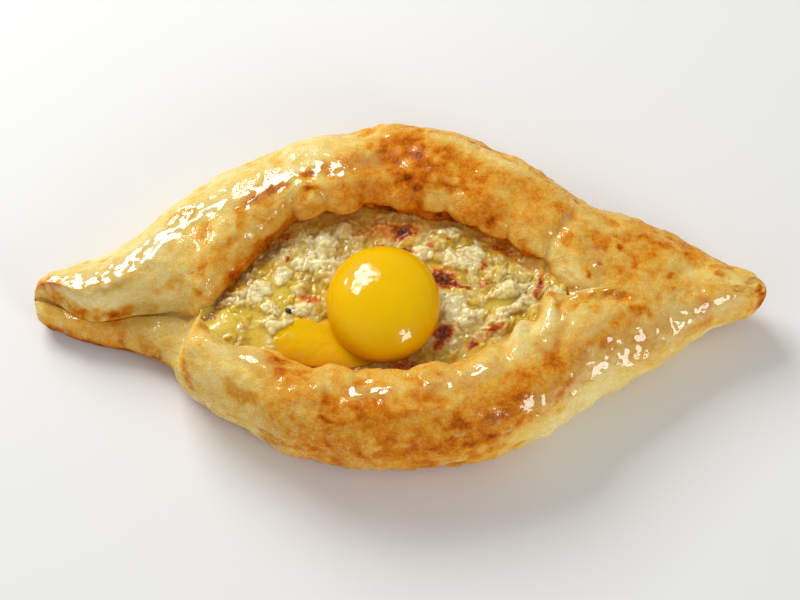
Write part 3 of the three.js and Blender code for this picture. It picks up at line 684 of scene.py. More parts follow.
# Darker in the hollow under the pillows: partly dough stewed in butter, partly painted shade under the
# overhanging lips
hollow_brown_and_shade = smooth(HOLLOW_TOP + 2, HOLLOW_TOP - 1.5, pz) * smooth(-4, -9, around)
hollow_brown_and_shade *= span(px, (-72, -66), (58, 48)) * smooth(-45, -30, px)
hollow_brown_and_shade *= np.where(on_far, mix(*HOLLOW_BROWN_AND_SHADE.far, to_the_right), HOLLOW_BROWN_AND_SHADE.near)
# A painted shadow along the foot of the far wall at the left, where the lip hangs over the curd
hollow_brown_and_shade += HOLLOW_BROWN_AND_SHADE.left_painted_shadow * smooth(29, 26, pz) * smooth(-9, -14, around) * bell(px, -50, 14) * on_far
edge_heat = EDGE.line * smooth(3.2, 0.6, pz) + EDGE.above * smooth(9, 2, pz)
# On the near roll's right half the line is mostly left out, as part of the painted light on its skirt
edge_heat *= 1 - EDGE.spared * span(px, (18, 38), (118, 100)) * ~on_far

# %% All the browning, painted shade and painted light together
SPOTS = SimpleNamespace(strength=0.85, base=0.7, swing=0.8, size=2.6, seed=53)
UNEVEN = SimpleNamespace(broad=0.10, size=10, seed=51, raised=0.22, in_pale=0.2)
RAISED_LAYERS = [(6.5, 1.0, 7), (3.4, 0.7, 13)]  # those of the relief, so that what stands up browns more
SKIRT_PAINTED_LIGHT, BUTTERED_PALE, END_BROWN, DRY_GLAZE = 0.8, 0.35, 0.35, 0.28

patchy = np.clip(SPOTS.base + SPOTS.swing * noise(dough, SPOTS.size, SPOTS.seed), 0, 1.05)
spared = (1 - wall_brown_and_shade * (1 - pale)) * (1 - hollow_brown_and_shade * (1 - pale)) * (1 - edge_heat)
spared *= 1 - SPOTS.strength * marks * patchy * (1 - 0.3 * pale_side)
bake = 1 - (1 - tone) * spared
raised = smooth(0.15, 0.75, noise_layers(dough, RAISED_LAYERS))
uneven = UNEVEN.broad * noise(dough, UNEVEN.size, UNEVEN.seed) + UNEVEN.raised * raised
bake += mix(1, UNEVEN.in_pale, pale) * uneven
# Painted light: the near roll's skirt at the right is made paler, standing in for the bright floor lighting
# its underside
bake *= 1 - SKIRT_PAINTED_LIGHT * smooth(17, 26, around) * bell(px, 60, 24) * ~on_far
bake *= 1 - BUTTERED_PALE * glaze * smooth(50, 70, px) * ~on_far
bake += END_BROWN * smooth(123.5, 127.5, px) * smooth(-2, 2, around) * ~on_far
paint(crust, bake=np.clip(bake, 0, 1)[1:-1], glaze=mix(DRY_GLAZE, 1, glaze)[1:-1])
print("bake: mean", round(float(bake.mean()), 2))

# %% [markdown]
# The filling is curd cheese that melted together in the oven. A heap of separate curds would leave gaps and
# need hundreds of pieces, so it is one sheet between the two walls of the eye. The absolute value of noise
# gives soft lumps with creases between them, at four sizes from broad to crumbly, and curds are domes on
# top. The sheet sinks into a shallow basin where yolk ran out, and along the far lip at the left, where the
# curd shrank away from the dough. Melted butter stands in the hollows: below its level nothing rises.

# %% The curds
CHEESE_ROWS, CHEESE_ACROSS, CHEESE_UNDER = 340, 200, 8
CHEESE_REACH = 5.0  # how far the sheet runs in under the lips of the dough
EYE_LEFT, EYE_RIGHT = -69.0, 58.0
LARGE_CURDS = [  # x, y, half length, half width, height, turn in degrees, whiteness
    (-41.8, -16.5, 6.5, 2.7, 2.4, -45, 0.9), (-32.7, 8.1, 4.6, 3.3, 2.4, 10, 1.0),
    (-27.5, 8.6, 3.4, 2.4, 1.8, 40, 0.9), (-19.4, 21.0, 2.6, 3.8, 2.4, 10, 1.0),
    (-25.4, 16.0, 5.0, 4.0, 1.8, 0, 0.9), (-53.0, -4.8, 6.0, 4.2, 1.8, 20, 0.6),
    (-59.0, -5.0, 4.0, 3.4, 1.6, 0, 0.6), (-47.5, -1.0, 4.4, 3.4, 1.8, 0, 0.6),
    (-34.8, -2.4, 3.2, 2.6, 2.0, 30, 0.9), (-40.0, 3.4, 4.4, 3.0, 1.8, 50, 0.8),
    (-44.0, -9.0, 4.2, 2.8, 1.8, -20, 0.8), (-34.0, -9.5, 4.0, 3.0, 1.8, 0, 0.7),
    (18.5, -8.3, 6.0, 3.4, 2.2, 10, 0.9), (22.8, -13.0, 6.0, 2.8, 2.0, 25, 0.9),
    (38.9, -2.6, 8.0, 2.4, 2.4, 15, 0.9), (37.5, -10.0, 5.2, 2.4, 2.0, 15, 0.7),
    (17.5, 21.5, 5.2, 3.0, 1.6, -20, 0.8), (8.7, 12.6, 4.8, 2.6, 1.6, -15, 0.9),
    (22.0, 10.0, 9.0, 5.5, 1.6, 0, 0.5), (33.5, 6.0, 4.0, 6.0, 1.8, 0, 0.3),
    (30.0, -17.5, 6.0, 2.6, 1.6, 30, 0.4), (44.0, -6.0, 3.6, 2.4, 1.8, 0, 0.6),
]
SMALL_CURDS = SimpleNamespace(count=420, half=(0.8, 2.3), seed=67)


def domes(x, y, rows):
    """The highest of height * (1 - r^2)^0.8 over the rows, and the whiteness of the dome that wins."""
    top, white = np.zeros_like(x), np.zeros_like(x)
    for x0, y0, half_long, half_wide, height, turn, whiteness in rows:
        u, v = own_axes(x - x0, y - y0, math.radians(turn), half_long, half_wide)
        here = height * np.clip(1 - (u * u + v * v), 0, 1) ** 0.8
        white = np.where(here > top, whiteness, white)
        top = np.maximum(top, here)
    return top, white


def small_curds(count, half, seed):
    """Rows like those of the large curds, scattered over the whole eye; most of them are small."""
    rng = np.random.default_rng(seed)
    x = rng.uniform(EYE_LEFT + 3, EYE_RIGHT - 2, count)
    y = seam(x) + rng.uniform(-1, 1, count) * eye_half_width(x)
    long = mix(*half, rng.random(count) ** 2)
    tall = long * rng.uniform(0.45, 0.8, count)
    wide = long * rng.uniform(0.6, 1, count)
    turn, white = rng.uniform(0, 180, count), rng.uniform(0.2, 1, count)
    return np.stack([x, y, long, wide, tall, turn, white], axis=1)


# %% A grid between the walls of the eye, and the curds on it
CURD_EDGES = [(3.0, 1.0, (61, 63)), (1.2, 0.5, (62, 64))]  # size and shift of the noise, seeds for x and y


def cheese_edges(x):
    """The two walls of the eye at the filling's level, moved outwards by CHEESE_REACH."""
    floor = floor_height(x)
    edges = []
    for s in (roll_side(x, sign) for sign in (-1, 1)):
        share = np.clip((FILLING_LEVEL - 0.6 - floor) / (s.height - floor), 0, 1)
        across = np.sin(np.arccos(share ** (s.fullness / 2))) ** (2 / s.fullness)
        edges.append(mix(s.crest, s.inner, across) + s.sign * CHEESE_REACH)
    return edges


v = np.linspace(0, 1, CHEESE_ROWS + 1)[1:-1, None]
cx = mix(EYE_LEFT, EYE_RIGHT, v)
near_y, far_y = cheese_edges(cx)
cx = cx + np.zeros(CHEESE_ACROSS + 1)[None]
cy = mix(near_y, far_y, np.linspace(0, 1, CHEESE_ACROSS + 1)[None])
level = np.stack([cx, cy, 0 * cx], axis=-1)
wx, wy = (
    at + sum(shift * noise(level, size, seeds[n]) for size, shift, seeds in CURD_EDGES)
    for n, at in enumerate((cx, cy))
)
warped = np.stack([wx, wy, 0 * wx], axis=-1)  # uneven outlines for all that is placed on the sheet
large, large_white = domes(wx, wy, LARGE_CURDS)
small, small_white = domes(wx, wy, small_curds(**vars(SMALL_CURDS)))
print("curds:", len(LARGE_CURDS), "large,", SMALL_CURDS.count, "small")

# %% How white each point of the cheese is
WHITEST = [(-24, 15, 12), (22, -11, 8)]  # x, y and reach of the places where hardly any curd melted
WHITE = SimpleNamespace(base=0.2, small=0.6, place=0.6, crumbs=0.55, patchy=0.5)

crumbs = np.abs(noise(warped, 1.5, 77))
whiteness = large_white * smooth(0.1, 0.8, large) + WHITE.small * small_white * smooth(0.2, 0.9, small)
whiteness += sum(WHITE.place * bell(np.hypot(wx - x0, wy - y0), 0, reach) for x0, y0, reach in WHITEST)
whiteness = WHITE.base + whiteness * (WHITE.crumbs + crumbs) + WHITE.patchy * noise(warped, 6, 76)
whiteness = np.clip(whiteness, 0, 1)

# %% The bed of cheese
MELT_LAYERS = [(9, 1.2, 71), (4.4, 0.8, 72), (2.2, 0.4, 73), (1.1, 0.12, 74)]  # size, height, seed
BED = SimpleNamespace(rise=0.2, large=0.85, small=0.45, crumbs=0.5, right_rise=3.6, edge_drop=0.8)
CREVICE, CREVICE_DEPTH = (29, -9.3, 40, -5.4, 1.3), 1.8  # where a long curd lies over the next one
FAR_GAP = [(-66, -13, -59, 0.5, 3.2), (-59, 0.5, -41, 19.5, 4.4)]  # the curd shrank away from the far lip
GAP_DEPTH, GAP_SHADE = 2.0, 2.0
SPILL_TURN = -0.22  # radians, of the basin and of the pool of yolk in it
BASIN = SimpleNamespace(centre=(-26.5, -23.8), half=(15.5, 8.2), depth=2.6, melt=0.3)

billows = [np.abs(noise(warped, size, seed)) for size, height, seed in MELT_LAYERS]
melt = sum(height * (2 * lump - 0.6) for lump, (size, height, seed) in zip(billows, MELT_LAYERS))
edge_share = np.abs(cy - seam(cx)) / np.maximum(1, eye_half_width(cx))
bed = FILLING_LEVEL + BED.rise + melt + BED.large * large + BED.small * small
bed += BED.crumbs * whiteness * (2 * crumbs - 0.4) - CREVICE_DEPTH * groove(wx, wy, *CREVICE)
bed += BED.right_rise * smooth(38, 57, cx)
bed -= BED.edge_drop * smooth(0.84, 1.0, edge_share) * smooth(48, 36, cx)
gap = np.maximum(*(groove(wx, wy, *row) for row in FAR_GAP))
bed -= GAP_DEPTH * gap
basin_x, basin_y = wx - BASIN.centre[0], wy - BASIN.centre[1]
sunk = smooth(1.16, 0.86, np.hypot(*own_axes(basin_x, basin_y, SPILL_TURN, *BASIN.half)))
bed = mix(bed, FILLING_LEVEL + BED.rise - BASIN.depth + BASIN.melt * melt, sunk)

# %% Melted butter in the hollows
PUDDLE = SimpleNamespace(centre=(-60, -17), half=(9, 6), height=1.5)
BUTTER_DEPTH = -0.5  # its mean level, from the filling's
BUTTER_SWELL, BUTTER_WAVES = [(12, 0.4, 75)], [(3.2, 0.16, 78), (1.5, 0.07, 79)]

puddle = bell(cx, PUDDLE.centre[0], PUDDLE.half[0]) * bell(cy, PUDDLE.centre[1], PUDDLE.half[1])
butter_level = FILLING_LEVEL + BUTTER_DEPTH + PUDDLE.height * puddle - GAP_DEPTH * gap
butter_level += noise_layers(level, BUTTER_SWELL) + noise_layers(warped, BUTTER_WAVES)
oily = smooth(-0.3, 0.4, butter_level - bed) * (1 - sunk)
print("butter shows on", round(100 * float((oily > 0.5).mean())), "% of the cheese")

# %% Make the cheese
BELLY_DEPTH, BELLY_START = 6, 2.5  # under the filling's level, in the middle and at the walls

top = np.maximum(bed, mix(butter_level, bed, sunk))
under = np.linspace(1, 0, CHEESE_UNDER + 2)[None, 1:-1]
under_y = mix(near_y, far_y, under)
under_z = FILLING_LEVEL - BELLY_DEPTH * np.sin(math.pi * under) - BELLY_START + 0 * under_y
sheet = np.stack([leaned(cx, cy), cy, top], axis=-1)
belly = np.stack([leaned(cx[:, :1] + 0 * under_y, under_y), under_y, under_z], axis=-1)
cheese_rings = np.concatenate([sheet, belly], axis=1)
ends = [(edge, float(seam(np.array(edge))), FILLING_LEVEL - 1) for edge in (EYE_LEFT, EYE_RIGHT)]
cheese = closed_mesh("melted_cheese", cheese_rings, *ends)

# %% [markdown]
# Four numbers for each point tell the finish what to paint: how white the curd is, how scorched it is, with
# the yolk's painted shadow in the same number, whether butter covers it, and how deep in a crease or in the
# far gap it lies, which is painted as shade. They are stored in the mesh as attributes, which keeps the
# colours in step with the shape.

# %% What colours the cheese
SCORCH_AND_SHADOW = [  # x, y, half length, half width, turn in degrees, strength
    (1.4, 20.5, 3.6, 3.0, 0, 1.0), (-1.4, 13.8, 8, 1.1, -5, 0.8), (14, 2.2, 5.4, 3.8, -10, 1.0),
    (20, -0.6, 5, 1.3, -8, 0.85), (15, -19, 3.8, 2.4, 40, 0.95), (25.3, -23, 2.2, 1.8, 40, 0.85),
    (32, -17.5, 5, 1.8, 25, 0.45), (-31.2, -6, 3.6, 2.0, -25, 0.6), (-34, -14, 2.4, 1.7, 0, 0.75),
    (-39, 19, 1.9, 1.6, 0, 0.55), (-39, 10, 1.2, 1.2, 0, 0.55), (-36, -19.4, 1.2, 1.2, 0, 0.6),
    (29.5, 7.5, 1.8, 1.5, 30, 0.6), (29.2, 0.4, 1.6, 1.4, 0, 0.6), (48.3, -1.6, 1.3, 4.2, -12, 0.8),
    (11, 15, 1.8, 1.2, 0, 0.6), (16.6, 18, 1.4, 1, 0, 0.6), (23, 4.5, 1.2, 1, 0, 0.4),
    # The rows at (3, -31) and (13, -23) are painted shadow of the yolk on the cheese; the others are scorch
    (-6, 21, 15, 4, 0, 0.35), (3, -31, 8, 2.2, 5, 0.5), (36, 14, 5, 3, -30, 0.35),
    (13, -23, 3, 1.6, 40, 0.5),
]
FAR_EDGE_SCORCH, FINE_CREASE_SHADE = 0.22, 0.8

far_edge_band = smooth(0.8, 0.98, edge_share) * smooth(-10, 10, cy)
scorch_and_shadow = 1 - (1 - patches(SCORCH_AND_SHADOW, wx, wy)) * (1 - FAR_EDGE_SCORCH * far_edge_band)
# Painted shade: the creases between curds and the gap at the far lip are darkened
crease_shade = np.maximum(smooth(0.2, 0, billows[1]), FINE_CREASE_SHADE * smooth(0.2, 0, billows[2])) * (1 - oily)
crease_shade = np.clip(crease_shade + GAP_SHADE * gap, 0, GAP_SHADE)
pad = np.zeros((len(cx), CHEESE_UNDER))
for name, values in {"curd": whiteness, "scorch_and_shadow": scorch_and_shadow, "oily": oily, "crease_shade": crease_shade}.items():
    paint(cheese, **{name: np.concatenate([values, pad], axis=1)})

# %% [markdown]
# The yolk went on raw and has only just set: a round, tight skin, flattened a little by its own weight. A
# sphere's two angles give the grid. In two places the skin shrank into fine ripples, about a tenth of a
# millimetre high, which break the reflection of the light into many small ones.

# %% The yolk
yolk_low, yolk_high = (np.array(corner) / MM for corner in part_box("yolk"))
YOLK_CENTRE, YOLK_HALF = (yolk_low + yolk_high) / 2, (yolk_high - yolk_low) / 2
YOLK_GRID = (180, 260)
WRINKLED_TOWARDS = [((-0.46, 0.3, 0.84), 0.42), ((0.4, -0.72, 0.55), 0.22)]  # direction and reach
YOLK_SWELL = [(0.5, 0.006, 81)]  # size and height of noise in shares of the yolk's radius, and its seed
YOLK_RIPPLES = [(0.2, 0.010, 82), (0.09, 0.007, 83)]


def ball(rows, around):
    """Unit directions: latitude from the lowest point up, longitude round, without the two poles."""
    latitude = np.linspace(-math.pi / 2, math.pi / 2, rows + 1)[1:-1, None]
    longitude = np.linspace(0, 2 * math.pi, around, endpoint=False)[None]
    out, up = np.cos(latitude), np.sin(latitude)
    return np.stack([out * np.cos(longitude), out * np.sin(longitude), up + 0 * longitude], axis=-1)


def ball_mesh(name, rings, centre, half_height):
    """The mesh of rings that began as ball(), with a lowest and a highest point as its poles."""
    rise = np.array([0, 0, half_height])
    return closed_mesh(name, rings, centre - rise, centre + rise)


direction = ball(*YOLK_GRID)
wrinkled = sum(bell(np.linalg.norm(direction - at, axis=-1), 0, width) for at, width in WRINKLED_TOWARDS)
swell = 1 + noise_layers(direction, YOLK_SWELL) + wrinkled * noise_layers(direction, YOLK_RIPPLES)
yolk_rings = YOLK_CENTRE + direction * YOLK_HALF * swell[..., None]
yolk_rings[..., 2] = np.minimum(yolk_rings[..., 2], yolk_high[2])
yolk = ball_mesh("soft_yolk", yolk_rings, YOLK_CENTRE, YOLK_HALF[2])
# deep: more orange low on the ball, partly more yolk behind and partly painted shade of its lower side
paint(yolk, wrinkled=wrinkled, deep=smooth(0.8, -0.3, direction[..., 2]))

# %% [markdown]
# A little yolk ran out and lies between the whole one and the near roll. It is a flat drop, wider than its
# basin in the cheese, so that the curds round the basin give it its uneven shore.

# %% The spilled yolk
POOL = SimpleNamespace(centre=np.array([-25.5, -22.2, 23.3]), half=np.array([19, 10, 1.4]))
POOL_OUTLINE = [(2, 0.4, 0.04), (3, 1.9, 0.04), (5, 0.7, 0.03)]  # lobes, phase, share
POOL_WAVES = [(4.5, 0.3, 91), (2, 0.1, 92)]
POOL_GRID, POOL_FLATNESS, POOL_WRINKLED = (60, 160), 0.4, 0.3

direction = ball(*POOL_GRID)
angle = np.arctan2(direction[..., 1], direction[..., 0])
outline = 1 + sum(share * np.sin(lobes * angle + phase) for lobes, phase, share in POOL_OUTLINE)
drop = np.sign(direction[..., 2]) * np.abs(direction[..., 2]) ** POOL_FLATNESS
pool = np.stack([direction[..., 0] * outline, direction[..., 1] * outline, drop], axis=-1) * POOL.half
pool[..., 2] += noise_layers(pool, POOL_WAVES)
pool = turned(pool, SPILL_TURN) + POOL.centre
spilled = ball_mesh("runny_spill", pool, POOL.centre, POOL.half[2])
towards_near_roll = smooth(-28, -40, pool[..., 1] + 0.25 * pool[..., 0])
paint(spilled, wrinkled=POOL_WRINKLED + 0 * angle, deep=towards_near_roll)

# %% [markdown]
# One black seed lies on the curds: a drop shape, blunt at one end and pointed at the other. A ball with one
# end pinched is enough at this size. It is set on the cheese at the nearest point of the sheet.

# %% The seed
SEED_PLACE, SEED_HALF, SEED_TURN = np.array([-38.2, -10.2]), np.array([1.5, 0.85, 0.7]), -0.7
SEED_GRID, SEED_PINCH, SEED_ABOVE = (20, 28), 0.35, 0.35

nearest = np.argmin(((sheet[..., :2] - SEED_PLACE) ** 2).sum(axis=-1))
seed_centre = np.array([*SEED_PLACE, sheet[..., 2].ravel()[nearest] + SEED_ABOVE])
direction = ball(*SEED_GRID)
pinch = 1 - SEED_PINCH * np.clip(direction[..., :1], 0, 1) ** 2
seed_rings = direction * SEED_HALF * np.concatenate([np.ones_like(pinch), pinch, pinch], axis=-1)
black_seed = ball_mesh("black_seed", turned(seed_rings, SEED_TURN) + seed_centre, seed_centre, SEED_HALF[2])

# %% [markdown]
# Finishes are node trees. One small helper makes a node and fills its inputs, either with a value or with
# the output of another node. Colours are written as they look on a screen, 0 to 255.


# %% Node helpers
def colour(red, green, blue):
    """A screen colour as the linear light that Blender counts in."""
    share = np.array([red, green, blue]) / 255
    linear = np.where(share <= 0.04045, share / 12.92, ((share + 0.055) / 1.055) ** 2.4)
    return (*linear.tolist(), 1)


def node(tree, kind, inputs=None, **settings):
    """A new node: settings are its own properties, inputs are values or the sockets of other nodes."""
    made = tree.nodes.new("ShaderNode" + kind)
    for name, value in settings.items():
        setattr(made, name, value)
    for name, value in (inputs or {}).items():
        if isinstance(value, bpy.types.NodeSocket):
            tree.links.new(value, made.inputs[name])
        else:
            made.inputs[name].default_value = value
    return made


def compute(tree, operation, a, b=0.0, c=0.0):
    """A sum on up to three values or sockets; MULTIPLY_ADD is a * b + c."""
    return node(tree, "Math", {0: a, 1: b, 2: c}, operation=operation).outputs[0]


def field(tree, name):
    """The number that paint() stored under this name."""
    return node(tree, "Attribute", attribute_name=name).outputs["Fac"]


def rescale(tree, value, start, end, low=0.0, high=1.0):
    """low where value is at start, high where it is at end, and held there outside."""
    inputs = {"Value": value, "From Min": start, "From Max": end, "To Min": low, "To Max": high}
    return node(tree, "MapRange", inputs).outputs[0]


def ramp(tree, value, stops):
    """The colours of the stops, and blends of neighbours between them."""
    made = node(tree, "ValToRGB", {"Fac": value})
    elements = made.color_ramp.elements
    while len(elements) < len(stops):
        elements.new(0.5)
    for element, (position, shade) in zip(elements, stops):
        element.position, element.color = position, shade
    return made.outputs["Color"]


def blend(tree, share, a, b):
    """The colour a where share is 0 and b where it is 1: inputs 6 and 7 of a Mix node are its colours."""
    return node(tree, "Mix", {0: share, 6: a, 7: b}, data_type="RGBA").outputs[2]


def new_material(name, constants):
    """The material, its node tree and its shader, with the constants set on the shader's own sockets."""
    material = bpy.data.materials.new(name)
    material.use_nodes = True
    shader = material.node_tree.nodes["Principled BSDF"]
    for socket, value in constants.items():
        shader.inputs[socket].default_value = value
    return material, material.node_tree, shader


# %% [markdown]
# Two effects are shared. Mottle gives an uneven value between 0 and 1 at a chosen size. Skin gives the
# height of fine wrinkles and pores for a Bump node: detail too small for the mesh, such as the crackle in a
# butter glaze. Both are noise in the piece's own coordinates, so that each mark keeps its place on it.


# %% Shared node groups
def new_group(name, inputs, output):
    tree = bpy.data.node_groups.new(name, "ShaderNodeTree")
    for socket, value in inputs.items():
        made = tree.interface.new_socket(socket, in_out="INPUT", socket_type="NodeSocketFloat")
        made.default_value = value
    tree.interface.new_socket(output, in_out="OUTPUT", socket_type="NodeSocketFloat")
    start, end = tree.nodes.new("NodeGroupInput"), tree.nodes.new("NodeGroupOutput")
    return tree, start.outputs, end


def speckle(tree, per_metre, detail, roughness=0.55):
    """Blender's own noise in the piece's coordinates, with this many waves to the metre."""
    where = node(tree, "TexCoord").outputs["Object"]
    return node(
        tree, "TexNoise", {"Vector": where, "Scale": per_metre, "Detail": detail, "Roughness": roughness}
    ).outputs[0]


mottle_group, given, end = new_group("mottle", {"Size mm": 2.0, "Contrast": 1.0}, "Value")
per_metre = compute(mottle_group, "DIVIDE", 1000.0, given["Size mm"])
raw = compute(mottle_group, "SUBTRACT", speckle(mottle_group, per_metre, 3.0), 0.5)
shown = compute(mottle_group, "MULTIPLY_ADD", raw, given["Contrast"], 0.5)
mottle_group.links.new(shown, end.inputs["Value"])

skin_group, given, end = new_group("skin", {"Wrinkle mm": 1.2, "Pore mm": 0.5, "Pores": 0.4}, "Height")
wrinkles = speckle(skin_group, compute(skin_group, "DIVIDE", 1000.0, given["Wrinkle mm"]), 2.0)
ridged = compute(skin_group, "ABSOLUTE", compute(skin_group, "SUBTRACT", wrinkles, 0.5))
pores = speckle(skin_group, compute(skin_group, "DIVIDE", 1000.0, given["Pore mm"]), 1.0)
ridges = compute(skin_group, "MULTIPLY", ridged, 2.0)
height = compute(skin_group, "MULTIPLY_ADD", pores, given["Pores"], ridges)
skin_group.links.new(height, end.inputs["Height"])


def grouped(tree, group, output, **inputs):
    """One use of a shared group; an underscore stands for the blank in an input's name."""
    made = node(tree, "Group", node_tree=group)
    for name, value in inputs.items():
        made.inputs[name.replace("_", " ")].default_value = value
    return made.outputs[output]


def mottle(tree, size, contrast=1.0):
    return grouped(tree, mottle_group, "Value", Size_mm=size, Contrast=contrast)


def swing(tree, size, contrast, strength):
    """Mottle that swings about zero, half of strength each way."""
    return compute(tree, "MULTIPLY", compute(tree, "SUBTRACT", mottle(tree, size, contrast), 0.5), strength)


def skin(tree, wrinkle_mm, pore_mm, pores):
    return grouped(tree, skin_group, "Height", Wrinkle_mm=wrinkle_mm, Pore_mm=pore_mm, Pores=pores)


def add_bump(tree, shader, height, distance_mm):
    bump = node(tree, "Bump", {"Strength": 1.0, "Distance": distance_mm * MM, "Height": height})
    tree.links.new(bump.outputs["Normal"], shader.inputs["Normal"])


# %% [markdown]
# Baked dough goes from cream over straw and gold to brown and nearly black. The bake value, browning with
# the painted shade of the inner walls and the painted light of the near skirt in it, picks the colour from a
# ramp, with fine mottling on top, stronger where it is browner. Butter soaks in and darkens the dough a
# little, and it lies on top as a coat: there the surface mirrors the light, and elsewhere it is dull. The
# coat is torn into patches at three sizes, and where the dough is brown it has dried up.

# %% Baked dough
DOUGH_SHADES = [
    (0.00, colour(244, 224, 154)), (0.20, colour(238, 203, 110)), (0.40, colour(230, 170, 60)),
    (0.60, colour(216, 128, 22)), (0.80, colour(182, 88, 10)), (1.00, colour(110, 42, 6)),
]
BUTTERED_SHADE = colour(186, 142, 60)
COAT_BREAKS = [(4.5, 1.6), (1.2, 1.5), (0.6, 1.4)]  # size in mm, and how much it adds to the coat or takes
DRIES_FROM, DRYING = 0.45, -1.7  # how brown, and the coat lost for each unit above it
dough_finish, tree, shader = new_material("baked_dough", {
    "IOR": 1.5, "Subsurface Weight": 0.12, "Subsurface Scale": 0.002, "Subsurface Radius": (1.0, 0.5, 0.2),
    "Specular IOR Level": 0.02, "Roughness": 0.6, "Coat Roughness": 0.05, "Coat IOR": 1.85,
})
baked, buttered = field(tree, "bake"), field(tree, "glaze")
grain = compute(tree, "ADD", swing(tree, 1.3, 1.2, 0.45), swing(tree, 0.6, 1.2, 0.22))
grain = compute(tree, "MULTIPLY", grain, compute(tree, "ADD", baked, 0.2))
browning_and_painted_shading = compute(tree, "ADD", compute(tree, "ADD", baked, swing(tree, 3.8, 1.3, 0.32)), grain)
dough_shade = ramp(tree, browning_and_painted_shading, DOUGH_SHADES)
drenched = compute(tree, "MULTIPLY_ADD", buttered, 0.34, -0.1)
tree.links.new(blend(tree, drenched, dough_shade, BUTTERED_SHADE), shader.inputs["Base Color"])
coat = buttered
for size, strength in COAT_BREAKS:
    coat = compute(tree, "ADD", coat, swing(tree, size, 1.0, strength))
dried = compute(tree, "MAXIMUM", compute(tree, "SUBTRACT", browning_and_painted_shading, DRIES_FROM), 0.0)
coat = compute(tree, "MULTIPLY_ADD", dried, DRYING, coat)
tree.links.new(rescale(tree, coat, 0.38, 0.52, 0.04), shader.inputs["Coat Weight"])
folds = compute(tree, "MULTIPLY_ADD", skin(tree, 0.9, 0.5, 0.5), 0.6, skin(tree, 2.6, 1.2, 0.3))
add_bump(tree, shader, folds, 0.45)

# %% [markdown]
# Melted cheese is yellow and a little clear, so light goes in and comes out softened: that is subsurface
# light, with a reach of a few millimetres. Curds that didn't melt are near white, and creases between them
# and the gap at the far lip are darkened to ochre as painted shade. Where the heat scorched it, and where
# the yolk's shadow is painted on it, a second ramp takes over, from gold to dark brown. A thin broken film
# of butter shines on all of it, least where it is scorched or painted with that shadow.

# %% Cheese
SCORCH_AND_SHADOW_SHADES = [
    (0.1, colour(238, 190, 90)), (0.35, colour(222, 140, 44)), (0.6, colour(178, 80, 16)),
    (1.0, colour(104, 36, 6)),
]
cheese_finish, tree, shader = new_material("curd_cheese", {
    "IOR": 1.5, "Subsurface Weight": 0.8, "Subsurface Scale": 0.004, "Subsurface Radius": (1.0, 0.9, 0.45),
    "Specular IOR Level": 0.15, "Roughness": 0.3, "Coat Roughness": 0.04, "Coat IOR": 1.7,
})
fleck = mottle(tree, 1.8, 1.6)
melted = blend(tree, fleck, colour(200, 156, 28), colour(230, 202, 70))
white = compute(tree, "ADD", fleck, 0.4)
white = compute(tree, "MULTIPLY", rescale(tree, field(tree, "curd"), 0.2, 0.9), white)
body = blend(tree, white, melted, colour(255, 246, 190))
# Painted shade: creases and the far gap blend towards ochre
body = blend(tree, compute(tree, "MULTIPLY", field(tree, "crease_shade"), 0.45), body, colour(164, 106, 18))
wet = blend(tree, compute(tree, "MULTIPLY", field(tree, "oily"), 0.7), body, colour(226, 198, 62))
# The scorch ramp also paints the yolk's shadow on the cheese
burn_and_shadow = compute(tree, "ADD", swing(tree, 1.3, 1.5, 1.6), 1.0)
burn_and_shadow = compute(tree, "MULTIPLY", field(tree, "scorch_and_shadow"), burn_and_shadow)
burnt_and_shadow_colour = ramp(tree, burn_and_shadow, SCORCH_AND_SHADOW_SHADES)
burn_and_shadow_share = rescale(tree, burn_and_shadow, 0.02, 0.35)
tree.links.new(blend(tree, burn_and_shadow_share, wet, burnt_and_shadow_colour), shader.inputs["Base Color"])
film = rescale(tree, mottle(tree, 1.4, 2.4), 0.4, 0.6, 0.08)
film = compute(tree, "MULTIPLY", film, compute(tree, "MULTIPLY_ADD", burn_and_shadow_share, -0.6, 1.0))
tree.links.new(compute(tree, "MAXIMUM", film, 0.08), shader.inputs["Coat Weight"])
add_bump(tree, shader, skin(tree, 1.4, 0.6, 0.3), 0.18)

# %% [markdown]
# Yolk is a deep yellow that turns orange where more of it lies behind, low on the ball and towards the near
# side of the pool; low on the ball the orange is also painted shade of its lower side. The skin itself is
# satin. A wet film lies on it in patches, most of it where the skin is wrinkled, and gives the small sharp
# lights. Both finishes come from one function with their own colours.

# %% Yolk and spilled yolk
def yolk_material(name, light, deep, roughness):
    """A ramp from light to deep colour (painted shade low on the yolk), a broken wet film, and a little
    relief where wrinkled.
    """
    material, tree, shader = new_material(name, {
        "IOR": 1.4, "Roughness": roughness, "Subsurface Weight": 0.25, "Subsurface Scale": 0.003,
        "Subsurface Radius": (1.0, 0.45, 0.05), "Specular IOR Level": 0.15,
        "Coat IOR": 1.75, "Coat Roughness": 0.05,
    })
    wrinkled = field(tree, "wrinkled")
    film = compute(tree, "ADD", wrinkled, swing(tree, 2.0, 1.0, 2.4))
    tree.links.new(rescale(tree, film, 0.4, 0.85, 0.03), shader.inputs["Coat Weight"])
    share = compute(tree, "ADD", field(tree, "deep"), swing(tree, 9.0, 1.5, 0.4))
    tree.links.new(ramp(tree, share, [(0.0, light), (1.0, deep)]), shader.inputs["Base Color"])
    relief = compute(tree, "MULTIPLY", skin(tree, 3.2, 1.2, 0.2), compute(tree, "ADD", wrinkled, 0.08))
    add_bump(tree, shader, compute(tree, "MULTIPLY_ADD", mottle(tree, 3.5), 0.15, relief), 0.16)
    return material


yolk_finish = yolk_material("egg_yolk", colour(240, 190, 0), colour(222, 146, 0), 0.06)
spill_finish = yolk_material("runny_yolk", colour(234, 184, 0), colour(214, 142, 2), 0.07)

# %% [markdown]
# The seed's coat is nearly black and finely rough, with a dull shine. Two greys and a small bump do.

